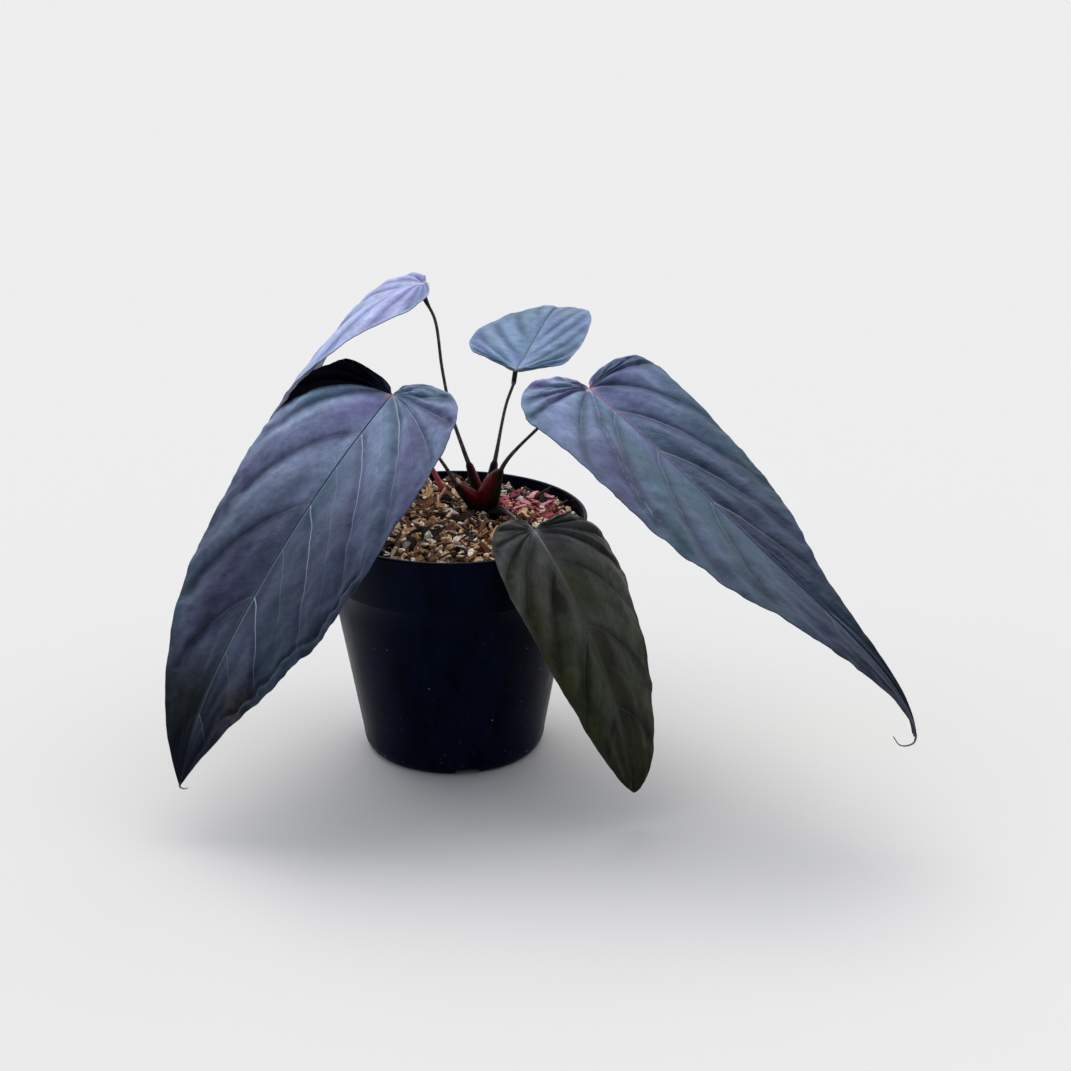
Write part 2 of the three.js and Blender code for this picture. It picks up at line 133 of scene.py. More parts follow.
def deselect_all() -> None:
    """Deselects every object, because an operator acts on all that is selected."""
    bpy.ops.object.select_all(action="DESELECT")


def make_active(piece: bpy.types.Object) -> None:
    """Selects one piece alone and makes it the active one.

    Args:
        piece: The mesh object.
    """
    deselect_all()
    piece.select_set(True)
    bpy.context.view_layer.objects.active = piece


def rename_active(name: str) -> bpy.types.Object:
    """Names the active object and its mesh.

    Args:
        name: The new name.

    Returns:
        The active object.
    """
    piece = bpy.context.view_layer.objects.active
    piece.name = name
    piece.data.name = name
    return piece


def settle(piece: bpy.types.Object) -> None:
    """Moves a piece's place, turn and size into its mesh, so that its object sits at the origin."""
    make_active(piece)
    bpy.ops.object.transform_apply(location=True, rotation=True, scale=True)


def close_shell(piece: bpy.types.Object, merge: float = 0.01, crease: float = 40.0) -> None:
    """Merges a piece's doubles, turns its faces outwards and shades it.

    Args:
        piece: The mesh object.
        merge: Distance in millimetres within which points become one.
        crease: Angle in degrees above which an edge stays sharp.
    """
    make_active(piece)
    bpy.ops.object.mode_set(mode="EDIT")
    bpy.ops.mesh.select_all(action="SELECT")
    bpy.ops.mesh.remove_doubles(threshold=merge * MM)
    bpy.ops.mesh.normals_make_consistent(inside=False)
    bpy.ops.object.mode_set(mode="OBJECT")
    bpy.ops.object.shade_smooth_by_angle(angle=math.radians(crease))


def mesh_piece(name: str, points: np.ndarray, faces: list[tuple[int, ...]]) -> bpy.types.Object:
    """Makes a mesh object from points in millimetres.

    Args:
        name: Name of the piece.
        points: One row for each point.
        faces: Corners of each face.

    Returns:
        The object, at the origin.
    """
    mesh = bpy.data.meshes.new(name)
    mesh.from_pydata((points * MM).tolist(), [], faces)
    mesh.update()
    piece = bpy.data.objects.new(name, mesh)
    bpy.context.scene.collection.objects.link(piece)
    return piece


def write_attribute(piece: bpy.types.Object, name: str, values: np.ndarray) -> None:
    """Writes one number or three for each point of a piece, for its material to read.

    Args:
        piece: The mesh object.
        name: Name of the attribute.
        values: One number or one row of three for each point.
    """
    kind, key = ("FLOAT", "value") if values.ndim == 1 else ("FLOAT_VECTOR", "vector")
    layer = piece.data.attributes.new(name, kind, "POINT")
    layer.data.foreach_set(key, values.astype(np.float32).ravel())


def take(piece: bpy.types.Object, slot: str, *nodes: str) -> None:
    """Puts a piece on the body, and lets it stand for nodes.

    Args:
        piece: The finished piece.
        slot: Not used.
        nodes: Nodes of the frame that it replaces.
    """
    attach(piece, "root")
    if nodes:
        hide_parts(*nodes)
    LOG.info("%s: %d faces", piece.name, len(piece.data.polygons))


def ramp(value: np.ndarray, start: float, end: float) -> np.ndarray:
    """Gives how far values are on the way from a start to an end, which may be the lower one.

    Args:
        value: The values.
        start: Value from which the share is above 0.
        end: Value from which the share is 1.

    Returns:
        Shares from 0 to 1.
    """
    return np.clip((value - start) / (end - start), 0, 1)


def bell(value: np.ndarray, width: float) -> np.ndarray:
    """Gives a bell curve that is 1 at zero and has fallen to 0.37 at the width."""
    return np.exp(-((value / width) ** 2))


def smooth_path(places: Sequence[Place], spacing: float) -> np.ndarray:
    """Runs a centripetal spline through places and divides it evenly.

    Args:
        places: Places in millimetres.
        spacing: Distance between the points that come back.

    Returns:
        Points along the curve, evenly spaced, with both ends.
    """
    knots = np.array(places, float)
    knots = np.vstack([2 * knots[0] - knots[1], knots, 2 * knots[-1] - knots[-2]])
    share = np.linspace(0, 1, 60)[:, None]
    dense = []
    for before, start, end, after in zip(knots, knots[1:], knots[2:], knots[3:]):
        first, middle, last = (
            math.sqrt(np.linalg.norm(b - a)) for a, b in ((before, start), (start, end), (end, after))
        )
        leave = (start - before) / first - (end - before) / (first + middle) + (end - start) / middle
        arrive = (end - start) / middle - (after - start) / (middle + last) + (after - end) / last
        leave, arrive = leave * middle, arrive * middle
        square = -3 * start + 3 * end - 2 * leave - arrive
        cube = 2 * start - 2 * end + leave + arrive
        dense.append(start + leave * share + square * share**2 + cube * share**3)
    return even_path(np.vstack(dense), spacing)


def even_path(points: np.ndarray, spacing: float) -> np.ndarray:
    """Divides a line evenly.

    Args:
        points: Points along the line.
        spacing: Wanted distance between the new points.

    Returns:
        Points along the same line, evenly spaced, with both ends.
    """
    run = np.concatenate([[0], np.cumsum(np.linalg.norm(np.diff(points, axis=0), axis=1))])
    count = max(2, math.ceil(run[-1] / spacing) + 1)
    goal = np.linspace(0, run[-1], count)
    return np.stack([np.interp(goal, run, points[:, k]) for k in range(3)], axis=1)


def turn_frames(path: np.ndarray, side: Place = (1, 0, 0)) -> tuple[np.ndarray, np.ndarray]:
    """Carries two directions square to a path along it without twist.

    Args:
        path: Points along the path.
        side: Direction near which the first one starts.

    Returns:
        For each point the two directions.
    """
    along = np.gradient(path, axis=0)
    along /= np.linalg.norm(along, axis=1)[:, None]
    first = np.array(side, float)
    sides = []
    for direction in along:
        first = first - direction * (first @ direction)
        first /= np.linalg.norm(first)
        sides.append(first)
    sides = np.array(sides)
    return sides, np.cross(along, sides)


def sweep(
    name: str,
    path: np.ndarray,
    radius: Callable[[np.ndarray, np.ndarray], np.ndarray],
    sides: int,
    side: Place = (1, 0, 0),
    blush: Callable[[np.ndarray, np.ndarray], np.ndarray] | None = None,
) -> bpy.types.Object:
    """Makes a closed bar along a path, for a section that isn't round or even.

    Args:
        name: Name of the piece.
        path: Points in millimetres.
        radius: Radius from the share of the path and the angle round it, both as arrays.
        sides: Number of sides.
        side: Direction from which the angle counts.
        blush: Redness from the same two arrays, which the bar's material reads.

    Returns:
        The closed bar.
    """
    first, second = turn_frames(path, side)
    share = np.linspace(0, 1, len(path))[:, None]
    angle = np.linspace(0, 2 * np.pi, sides, endpoint=False)[None, :]
    reach = radius(share, angle)[..., None] * np.ones((len(path), sides, 1))
    around = np.cos(angle)[..., None] * first[:, None] + np.sin(angle)[..., None] * second[:, None]
    points = (path[:, None] + reach * around).reshape(-1, 3)
    faces: list[tuple[int, ...]] = []
    for i in range(len(path) - 1):
        for k in range(sides):
            a, b = i * sides + k, i * sides + (k + 1) % sides
            faces.append((a, b, b + sides, a + sides))
    start, end = len(points), len(points) + 1
    last = (len(path) - 1) * sides
    for k in range(sides):
        after = (k + 1) % sides
        faces.append((start, after, k))
        faces.append((end, last + k, last + after))
    piece = mesh_piece(name, np.vstack([points, path[:1], path[-1:]]), faces)
    if blush:
        redness = (blush(share, angle) * np.ones((len(path), sides))).ravel()
        write_attribute(piece, "blush", np.append(redness, (0.0, redness[-1])))
    close_shell(piece, crease=60)
    return piece


def tube(name: str, path: np.ndarray, radii: Sequence[float], roundness: int) -> bpy.types.Object:
    """Draws a round tube as a curve with a bevel and makes it a mesh.

    Args:
        name: Name of the piece.
        path: Points in millimetres.
        radii: Radius at each point in millimetres.
        roundness: Bevel resolution of the curve.

    Returns:
        The closed tube.
    """
    deselect_all()
    bpy.ops.curve.primitive_bezier_curve_add(location=(0, 0, 0))
    curve = bpy.context.active_object.data
    curve.splines.clear()
    spline = curve.splines.new("POLY")
    spline.points.add(len(path) - 1)
    for knot, place, radius in zip(spline.points, path, radii):
        knot.co = (*(place * MM), 1)
        knot.radius = radius
    curve.dimensions = "3D"
    curve.bevel_depth = MM
    curve.bevel_resolution = roundness
    curve.use_fill_caps = True
    bpy.ops.object.convert(target="MESH")
    piece = rename_active(name)
    close_shell(piece, crease=60)
    return piece


def draw_rings(profile: Sequence[tuple[float, float]]) -> None:
    """Draws the selected ring of edges on through the rings of a profile.

    Args:
        profile: Radii and heights in millimetres, of which the first are those of the ring.
    """
    for (last_radius, last_height), (radius, height) in zip(profile, profile[1:]):
        bpy.ops.mesh.extrude_edges_move(
            TRANSFORM_OT_translate={"value": (0, 0, (height - last_height) * MM)}
        )
        share = radius / last_radius
        bpy.ops.transform.resize(value=(share, share, 1), center_override=(0, 0, height * MM))


def join(name: str, parts: Sequence[bpy.types.Object]) -> bpy.types.Object:
    """Joins pieces to one, named anew.

    Args:
        name: Name of the whole.
        parts: The pieces, of which the first gives its materials' order.

    Returns:
        The joined piece.
    """
    deselect_all()
    for part in parts:
        part.select_set(True)
    bpy.context.view_layer.objects.active = parts[0]
    bpy.ops.object.join()
    return rename_active(name)


# Leaves

# Sizes in millimetres and shares of the blade, as in the CAD
BLADE = 0.8
QUILT_HEIGHT = 1.3
RIB_GROOVE = 0.7
EDGE_WAVE = 0.4
LOBE_REACH = 20
MARGIN_STEPS = (4, 6, 10)
VEIN_SWEEP_SHARE = 0.27
VEIN_SWEEP_POWER = 1.7
VEIN_BEND_ACROSS = 0.62
VEIN_BEND_ALONG = 0.25
CLEARANCE = 0.4
STALK_FOOT = 1.1
STALK_MIDDLE = 0.75
STALK_NECK = 0.68
STALK_KNEE = 1.15
KNEE_LENGTH = 11
KNEE_CORE = 5

# Fine relief of the blade and the reach of its marks, in millimetres
EDGE_THINNING = 0.3
BUMP_SIZE = 8
BUMP_HEIGHT = 1.5
FINE_BUMP_SIZE = 3.3
FINE_BUMP_HEIGHT = 0.6
RIPPLE_LENGTH = 11
VEIN_GROOVE_DEPTH = 0.3
VEIN_GROOVE_WIDTH = 0.9
FINE_GROOVE_WIDTH = 1.1
VALLEY_WIDTH = 2.6
FLANGE_RISE = 1.0
FOLD_DEPTH = 1.3
FOLD_WIDTH = 1.6
FOLD_WANDER = 2.5
NODE_REACH = 4.2
VEIN_THINNING = 0.25
FINE_THINNING = 0.2

# Rows over which the turned-up margin and the painted deep shade set in
FLANGE_SOFTNESS = 0.8
SHADE_SOFTNESS = 0.3

# Vectors that are written on a blade for its material: distances from the side vein, the midrib
# and the fine vein; share of the length, painted deep shade and underside; painted shade of the
# crease with the dark patches, stain and node; paleness of the veins, painted shade of the valleys
# and of a half turned from the light, and band of tone
BLADE_LAYERS = ("veins", "zones", "marks", "tones")

# Tones of painted shade: in the crease of the turned-up margin, and in deep shade
CREASE_SHADE_TONE = "#07080b"
DEEP_SHADE_TONE = "#030205"
UNDER_VEIN_TONE = "#7c8b80"


@dataclass(frozen=True)
class Half:
    """Flat outline of one half of a blade in millimetres, and how far it arches down in degrees."""

    width: float
    lobe: float
    widest: float
    full: float
    hollow: float
    taper: float
    arch: float


@dataclass(frozen=True)
class VelvetFinish:
    """Finish of one blade: a leaf face covered in fine papillae, which gives it a velvet sheen."""

    name: str
    # Tones from base to tip: the tissue's own colour and its dark withered tip, with painted light on
    # top, paler near the base where the blade faces up and darker down its steeper part
    upper: Stops
    mottle: Stops
    # Tint of the painted shade in the valleys and on a half turned from the light
    valley: str
    under: str
    vein: str
    rib: Stops
    sheen: str
    sheen_weight: float
    gloss: float
    stain: str
    node: str

    def material(self) -> bpy.types.Material:
        """Makes the material of the blade's faces.

        Returns:
            Velvet that reads the veins, zones, marks and tones written on the blade.
        """
        material, tree = new_material(self.name)
        place = add_node(tree, "ShaderNodeTexCoord").outputs["Object"]
        # Cloudy tone of living tissue in patches of about 12 mm, and its finer crumpling at 3 mm.
        # Papillae are about 0.1 mm: they are drawn at 0.5 mm, so that they show.
        clouds, crumple, papillae = (
            add_node(
                tree,
                "ShaderNodeTexNoise",
                {"Vector": place, "Scale": scale, "Detail": detail, "Roughness": 0.6},
            ).outputs["Fac"]
            for scale, detail in ((80.0, 4.0), (330.0, 3.0), (1900.0, 2.0))
        )
        colour = self.colour(tree, clouds, crumple, papillae)
        grain = add_node(
            tree, "ShaderNodeBump", {"Strength": 0.3, "Distance": 0.0003, "Height": papillae}
        ).outputs["Normal"]
        crumpled_skin = add_node(
            tree,
            "ShaderNodeBump",
            {"Strength": 0.45, "Distance": 0.0009, "Height": crumple, "Normal": grain},
        ).outputs["Normal"]
        skin = add_node(
            tree,
            "ShaderNodeBsdfPrincipled",
            {
                "Base Color": colour,
                "Roughness": 0.5,
                "IOR": 1.42,
                "Specular IOR Level": self.gloss,
                "Specular Tint": linear(self.sheen),
                "Sheen Weight": self.sheen_weight,
                "Sheen Roughness": 0.4,
                "Sheen Tint": linear(self.sheen),
                "Normal": crumpled_skin,
            },
        )
        add_node(tree, "ShaderNodeOutputMaterial", {"Surface": skin.outputs["BSDF"]})
        return material

    def colour(
        self,
        tree: bpy.types.NodeTree,
        clouds: bpy.types.NodeSocket,
        crumple: bpy.types.NodeSocket,
        papillae: bpy.types.NodeSocket,
    ) -> bpy.types.NodeSocket:
        """Lays the blade's tones, veins and marks over each other, above and below.

        Args:
            tree: Node tree of the material.
            clouds: Broad pattern of the tissue.
            crumple: Its finer pattern.
            papillae: Pattern of the velvet.

        Returns:
            The colour of the blade.
        """
        (side_vein, midrib, fine_vein), (along, painted_shade, under), (crease, stain, node), tones = (
            add_node(
                tree,
                "ShaderNodeSeparateXYZ",
                {0: add_node(tree, "ShaderNodeAttribute", attribute_name=name).outputs["Vector"]},
            ).outputs
            for name in BLADE_LAYERS
        )
        pale, valley, band = tones
        # From which to which distance in millimetres a vein fades out, and how strong it is. The
        # last row turns the crumpling to spots.
        vein_line, fine_line, rib_edge, rib_line, spots = (
            add_node(
                tree,
                "ShaderNodeMapRange",
                {"Value": value, "From Min": start, "From Max": end, "To Min": first, "To Max": last},
                interpolation_type="SMOOTHSTEP",
            ).outputs["Result"]
            for value, start, end, first, last in (
                (side_vein, 0.12, 0.5, 1.0, 0.0),
                (fine_vein, 0.1, 0.42, 0.3, 0.0),
                (midrib, 0.55, 1.15, 0.5, 0.0),
                (midrib, 0.3, 0.55, 1.0, 0.0),
                (crumple, 0.42, 0.6, 0.0, 1.0),
            )
        )
        pale_vein, pale_fine, pale_edge, stained, under_vein = (
            add_node(tree, "ShaderNodeMath", {0: first, 1: second}, operation="MULTIPLY").outputs[0]
            for first, second in (
                (vein_line, pale),
                (fine_line, pale),
                (rib_edge, pale),
                (spots, stain),
                (vein_line, 0.5),
            )
        )
        upper, mottled, rib, cloudy, crumpled, grainy = (
            add_node(tree, "ShaderNodeValToRGB", {0: value}, stops).outputs["Color"]
            for value, stops in (
                (along, self.upper),
                (band, self.mottle),
                (along, self.rib),
                (clouds, ((0.3, "#a9a9ad"), (0.7, "#ffffff"))),
                (crumple, ((0.35, "#c4c4c8"), (0.65, "#ffffff"))),
                (papillae, ((0.3, "#c4c4c4"), (0.7, "#ffffff"))),
            )
        )
        above_layers = (
            (1.0, mottled, "MULTIPLY"),
            (0.7, cloudy, "MULTIPLY"),
            (0.45, crumpled, "MULTIPLY"),
            (0.5, grainy, "MULTIPLY"),
            # Painted shade in the valleys and on a half turned from the light
            (valley, linear(self.valley), "MULTIPLY"),
            (pale_fine, linear(self.vein), "MIX"),
            (pale_vein, linear(self.vein), "MIX"),
            (pale_edge, linear(self.vein), "MIX"),
            (rib_line, rib, "MIX"),
            (stained, linear(self.stain), "MIX"),
            # Painted shade in the fold's crease, and the dark patches
            (crease, linear(CREASE_SHADE_TONE), "MIX"),
            (node, linear(self.node), "MIX"),
            # Painted deep shade
            (painted_shade, linear(DEEP_SHADE_TONE), "MIX"),
        )
        below_layers = ((0.5, cloudy, "MULTIPLY"), (under_vein, linear(UNDER_VEIN_TONE), "MIX"))
        faces = []
        for colour, layers in ((upper, above_layers), (linear(self.under), below_layers)):
            for share, tint, blend in layers:
                colour = add_node(
                    tree,
                    "ShaderNodeMix",
                    {0: share, 6: colour, 7: tint},
                    data_type="RGBA",
                    blend_type=blend,
                ).outputs[2]
            faces.append(colour)
        above, below = faces
        return add_node(
            tree, "ShaderNodeMix", {0: under, 6: above, 7: below}, data_type="RGBA"
        ).outputs[2]

    def in_deep_shade(self) -> "VelvetFinish":
        """Gives a copy of the velvet without sheen or gloss, for the faces painted in deep shade."""
        return replace(self, name=f"{self.name}_shade", sheen_weight=0.0, gloss=0.0)

    def rib_material(self) -> bpy.types.Material:
        """Makes the waxy tissue of the midrib, smoother than the blade and streaked along it.

        Returns:
            The material, whose colour runs from the base to the tip.
        """
        material, tree = new_material(f"midrib_of_{self.name}")
        place = add_node(tree, "ShaderNodeTexCoord").outputs["Object"]
        zones = add_node(tree, "ShaderNodeAttribute", attribute_name="zones").outputs["Vector"]
        along = add_node(tree, "ShaderNodeSeparateXYZ", {0: zones}).outputs["X"]
        # Streaks in patches of about 6 mm
        streaks = add_node(
            tree, "ShaderNodeTexNoise", {"Vector": place, "Scale": 170.0, "Detail": 3.0}
        ).outputs["Fac"]
        colour, streak_tone = (
            add_node(tree, "ShaderNodeValToRGB", {0: value}, stops).outputs["Color"]
            for value, stops in ((along, self.rib), (streaks, ((0.35, "#9a9a9a"), (0.65, "#ffffff"))))
        )
        colour = add_node(
            tree,
            "ShaderNodeMix",
            {0: 0.8, 6: colour, 7: streak_tone},
            data_type="RGBA",
            blend_type="MULTIPLY",
        ).outputs[2]
        skin = add_node(
            tree,
            "ShaderNodeBsdfPrincipled",
            {"Base Color": colour, "Roughness": 0.5, "IOR": 1.42, "Specular IOR Level": 0.25},
        )
        add_node(tree, "ShaderNodeOutputMaterial", {"Surface": skin.outputs["BSDF"]})
        return material


@dataclass(frozen=True)
class Blotch:
    """A mark on the upper face: its place across and along the blade in millimetres and its reach."""

    across: float
    along: float
    reach: float
    share: float


@dataclass
class Leaf:
    """One leaf: its blade, in flat sizes and the angles of its midrib, and the way of its stalk.

    Angles are in degrees, at the base, in the middle and at the tip. Of the fields with a usual
    value, `wing` and `blush_angle` shape and redden the stalk's sheath, `quilt`, `crinkle` and
    `ripple` size the swellings and waves, `pale` shows the veins, `dusk` paints shade on a half,
    the shade row ends the painted deep shade on the right half, and `flange` turns up the left margin.
    """

    name: str
    base: Place
    length: float
    heading: Place
    dip: Place
    roll: Place
    tip_turn: float
    tip_drop: float
    droop: float
    fold: float
    left: Half
    right: Half
    wave: float
    stalk: Sequence[Place]
    finish: VelvetFinish
    wing: float = 0.0
    blush_angle: float = 0.0
    tip_thread: Sequence[Place] = ()
    quilt: float = 1.5
    pale_left: float = 0.3
    pale_right: float = 0.3
    crinkle_left: float = 0.15
    crinkle_right: float = 0.15
    ripple: float = 0.9
    # Painted shade on each half
    dusk_left: float = 0.0
    dusk_right: float = 0.0
    painted_shade_row: float = 0.0
    flange_rows: tuple[float, float] = (0.0, 0.0)
    flange_width: float = 7.0
    stains: Sequence[Blotch] = ()
    shades: Sequence[Blotch] = ()
    strong_vein: Sequence[tuple[float, float]] = ()
    sub_rows: int = 11
    columns: int = 44

    def __post_init__(self) -> None:
        """Prepares the midrib's line."""
        back = 2 * LOBE_REACH
        distances = np.arange(-back, self.length + 0.25, 0.5)
        middles = (distances[:-1] + distances[1:]) / 2
        steps = self.directions(middles)[0] * 0.5
        line = np.vstack([np.zeros(3), np.cumsum(steps, axis=0)])
        start = int(round(back / 0.5))
        self.rib_distances = distances
        self.rib_line = line - line[start] + np.array(self.base)

    @staticmethod
    def through(values: Place, share: np.ndarray) -> np.ndarray:
        """Runs a value smoothly through base, middle and tip.

        Args:
            values: The value at these three.
            share: Shares of the length.

        Returns:
            The value at each share.
        """
        base, middle, tip = values
        return base + (4 * middle - 3 * base - tip) * share + (2 * base - 4 * middle + 2 * tip) * share**2

    def directions(self, distance: np.ndarray) -> tuple[np.ndarray, np.ndarray, np.ndarray]:
        """Gives the blade's directions along, across and out of it.

        Args:
            distance: Distances from the base along the midrib.

        Returns:
            Three arrays with one direction for each distance.
        """
        share = np.clip(distance / self.length, 0, 1)
        behind = np.clip(-distance / LOBE_REACH, 0, 1.5)
        heading = np.radians(self.through(self.heading, share) + self.tip_turn * share**6)
        dip = np.radians(self.through(self.dip, share) + self.tip_drop * share**6 - self.droop * behind)
        roll = np.radians(self.through(self.roll, share))[:, None]
        east, north = np.cos(heading), np.sin(heading)
        along = np.stack([np.cos(dip) * east, np.cos(dip) * north, -np.sin(dip)], axis=1)
        level = np.stack([-north, east, np.zeros_like(heading)], axis=1)
        across = level * np.cos(roll) + np.cross(along, level) * np.sin(roll)
        return along, across, np.cross(along, across)

    def surface(
        self, half: Half, sign: int, across: np.ndarray, along: np.ndarray, lift: np.ndarray
    ) -> np.ndarray:
        """Lays flat places of one half on its arched surface.

        Args:
            half: The half's outline.
            sign: 1 for the left half, -1 for the right one.
            across: Flat distances from the midrib.
            along: Flat distances from the base.
            lift: Heights off the surface.

        Returns:
            Points in millimetres.
        """
        _, side_ways, outwards = self.directions(along)
        bend = math.radians(half.arch) / half.width
        fold = math.radians(self.fold)
        slope = fold - bend * across
        side = (math.sin(fold) - np.sin(slope)) / bend
        rise = (np.cos(slope) - math.cos(fold)) / bend
        rib = [np.interp(along, self.rib_distances, line) for line in self.rib_line.T]
        # At the midrib the lift leans to neither side, so that both halves meet there.
        lean = np.minimum(1, across / 1.5)
        sideways = sign * (side - lift * np.sin(slope) * lean)
        outward = rise + lift * np.cos(slope)
        return np.stack(rib, axis=1) + side_ways * sideways[:, None] + outwards * outward[:, None]

    def outline(self, half: Half, row: np.ndarray) -> np.ndarray:
        """Gives the margin of one half.

        Args:
            half: The half's outline.
            row: Places along the margin, from 0 at the sinus to 20 at the tip.

        Returns:
            Flat places, across and along.
        """
        width, lobe, widest = half.width, half.lobe, half.widest
        rest = self.length - widest
        lobe_end = (0.46 * width, -lobe)
        shoulder = (width, widest)
        corners = (
            ((0, 0), (0.04 * width, -0.75 * lobe), (0.18 * width, -lobe), lobe_end),
            (lobe_end, (0.8 * width, -lobe), (width, widest - 0.62 * (widest + lobe)), shoulder),
            (
                shoulder,
                (width, widest + half.full * rest),
                (half.hollow * width, self.length - half.taper * rest),
                (0, self.length),
            ),
        )
        places = np.zeros((len(row), 2))
        start = 0
        for steps, corner in zip(MARGIN_STEPS, corners):
            t = np.clip((row - start) / steps, 0, 1)[:, None]
            a, b, c, d = (np.array(p, float) for p in corner)
            curve = a * (1 - t) ** 3 + 3 * b * t * (1 - t) ** 2 + 3 * c * t**2 * (1 - t) + d * t**3
            here = (row >= start)[:, None]
            places = np.where(here, curve, places)
            start += steps
        return places

    def row_starts(self, row: np.ndarray) -> np.ndarray:
        """Gives how far along the midrib each vein row starts, the same for both halves.

        Args:
            row: Rows, from 0 at the sinus to 20 at the tip.

        Returns:
            Distances from the base in millimetres.
        """
        left, right = (self.outline(half, row)[:, 1] for half in (self.left, self.right))
        reach = (left + right) / (2 * self.length)
        step = np.maximum(0, reach - VEIN_SWEEP_SHARE) / (1 - VEIN_SWEEP_SHARE)
        return step**VEIN_SWEEP_POWER * self.length

    def flat(self, half: Half, row: np.ndarray, share: np.ndarray) -> np.ndarray:
        """Gives flat places on vein rows.

        Args:
            half: The half's outline.
            row: Row of each place.
            share: How far it is from the midrib to the margin, from 0 to 1.

        Returns:
            Flat places, across and along.
        """
        edge = self.outline(half, row)
        start = np.stack([np.zeros_like(row), self.row_starts(row)], axis=1)
        control = start + (edge - start) * (VEIN_BEND_ACROSS, VEIN_BEND_ALONG)
        t = share[:, None]
        return start * (1 - t) ** 2 + 2 * control * t * (1 - t) + edge * t**2

    def relief(self, row: np.ndarray, share: np.ndarray) -> np.ndarray:
        """Gives the swelling between the veins, the groove of the midrib and the wave of the edge.

        Args:
            row: Row of each place.
            share: How far it is from the midrib to the margin.

        Returns:
            Heights in millimetres.
        """
        order = row - 1
        between = 1 - np.abs(np.mod(order, 2) - 1)
        swell = self.quilt * QUILT_HEIGHT * 4 * share * (1 - share) * np.sin(np.pi / 2 * between)
        groove = -RIB_GROOVE * np.maximum(0, 1 - 4 * share)
        fade = np.sin(np.pi * np.minimum(1, row / sum(MARGIN_STEPS)))
        return groove + fade * (swell + EDGE_WAVE * share**2 * np.sin(1.9 * order + self.wave))

    def vein_gap(
        self, half: Half, vein_row: np.ndarray, share: np.ndarray, places: np.ndarray
    ) -> np.ndarray:
        """Gives the distance of flat places from the line of a vein.

        Args:
            half: The half's outline.
            vein_row: Row of the vein for each place.
            share: How far each place is from the midrib to the margin.
            places: The flat places.

        Returns:
            Distances in millimetres.
        """
        vein = self.flat(half, vein_row, share)
        ahead = self.flat(half, vein_row, np.minimum(share + 0.02, 1.02)) - vein
        ahead /= np.linalg.norm(ahead, axis=1)[:, None] + 1e-9
        gap = places - vein
        return np.abs(gap[:, 0] * ahead[:, 1] - gap[:, 1] * ahead[:, 0])

    def strong_gap(self, places: np.ndarray) -> tuple[np.ndarray, np.ndarray]:
        """Gives the distance of flat places from the strong vein, and how far along it that is.

        Args:
            places: The flat places.

        Returns:
            Distances in millimetres, and shares of the vein's length.
        """
        points = even_path(np.array([(*knot, 0) for knot in self.strong_vein], float), 1.0)[:, :2]
        gaps = np.linalg.norm(places[:, None] - points[None], axis=2)
        return gaps.min(axis=1), gaps.argmin(axis=1) / (len(points) - 1)

    def blotches(self, marks: Sequence[Blotch], places: np.ndarray, sign: int) -> np.ndarray:
        """Gives how strongly the nearest mark shows at flat places.

        Args:
            marks: The marks.
            places: The flat places of one half.
            sign: 1 for the left half, -1 for the right one.

        Returns:
            Strengths from 0 to 1.
        """
        strength = np.zeros(len(places))
        for mark in marks:
            reach = np.hypot(places[:, 0] * sign - mark.across, (places[:, 1] - mark.along) * 0.7)
            strength = np.maximum(strength, mark.share * np.clip(1.6 - 1.6 * reach / mark.reach, 0, 1))
        return strength

    def noises(
        self, half: Half, sign: int, row: np.ndarray, share: np.ndarray, places: np.ndarray
    ) -> list[np.ndarray]:
        """Gives smooth random values, which differ between leaves and halves.

        Args:
            half: The half's outline.
            sign: 1 for the left half, -1 for the right one.
            row: Row of each place.
            share: How far each place is from the midrib to the margin.
            places: The flat places.

        Returns:
            Broad bumps, fine bumps, ripples of the margin and bands of tone, from -1 to 1.
        """
        fields = (
            places / BUMP_SIZE,
            places / FINE_BUMP_SIZE,
            np.stack([share * half.width / RIPPLE_LENGTH, row * 1.25], axis=1),
            np.stack([share * 1.5, row * 0.45], axis=1),
        )
        return [
            np.array([noise.noise(Vector((x, y, self.wave + layer))) for x, y in field])
            for layer, field in enumerate(fields, start=10 * (2 + sign))
        ]

    def margin_fold(
        self, sign: int, row: np.ndarray, edge_distance: np.ndarray, bumps: np.ndarray
    ) -> tuple[np.ndarray, np.ndarray]:
        """Gives where the margin is turned up, and where it is folded for that.

        Args:
            sign: 1 for the left half, -1 for the right one.
            row: Row of each place.
            edge_distance: Distance of each place from the margin.
            bumps: Random values that make the fold uneven.

        Returns:
            Strengths of the flange and of the fold, from 0 to 1.
        """
        first_row, last_row = self.flange_rows
        if sign < 0 or not last_row:
            return np.zeros_like(row), np.zeros_like(row)
        inside = ramp(row, first_row, first_row + FLANGE_SOFTNESS)
        inside *= ramp(row, last_row, last_row - FLANGE_SOFTNESS)
        off_fold = self.flange_width + FOLD_WANDER * bumps - edge_distance
        return inside * ramp(off_fold, 0, 1.2), inside * bell(off_fold, FOLD_WIDTH)

    def vein_tones(
        self, sign: int, share: np.ndarray, places: np.ndarray, vein_distance: np.ndarray
    ) -> tuple[np.ndarray, np.ndarray, np.ndarray]:
        """Works out how pale the veins are, and the painted shade of the valleys beside them
        and of a half turned from the light.

        Args:
            sign: 1 for the left half, -1 for the right one.
            share: How far each place is from the midrib to the margin.
            places: The flat places.
            vein_distance: Distance of each place from its side vein.

        Returns:
            Distance from the nearest vein, the strong one too, paleness, and painted shade of
            the valleys and of the half.
        """
        across, along = places.T
        run = along / self.length
        pale, dusk = (
            (self.pale_left, self.dusk_left) if sign > 0 else (self.pale_right, self.dusk_right)
        )
        pale = pale * ramp(share, 1.02, 0.42) * ramp(run, 0.92, 0.62)
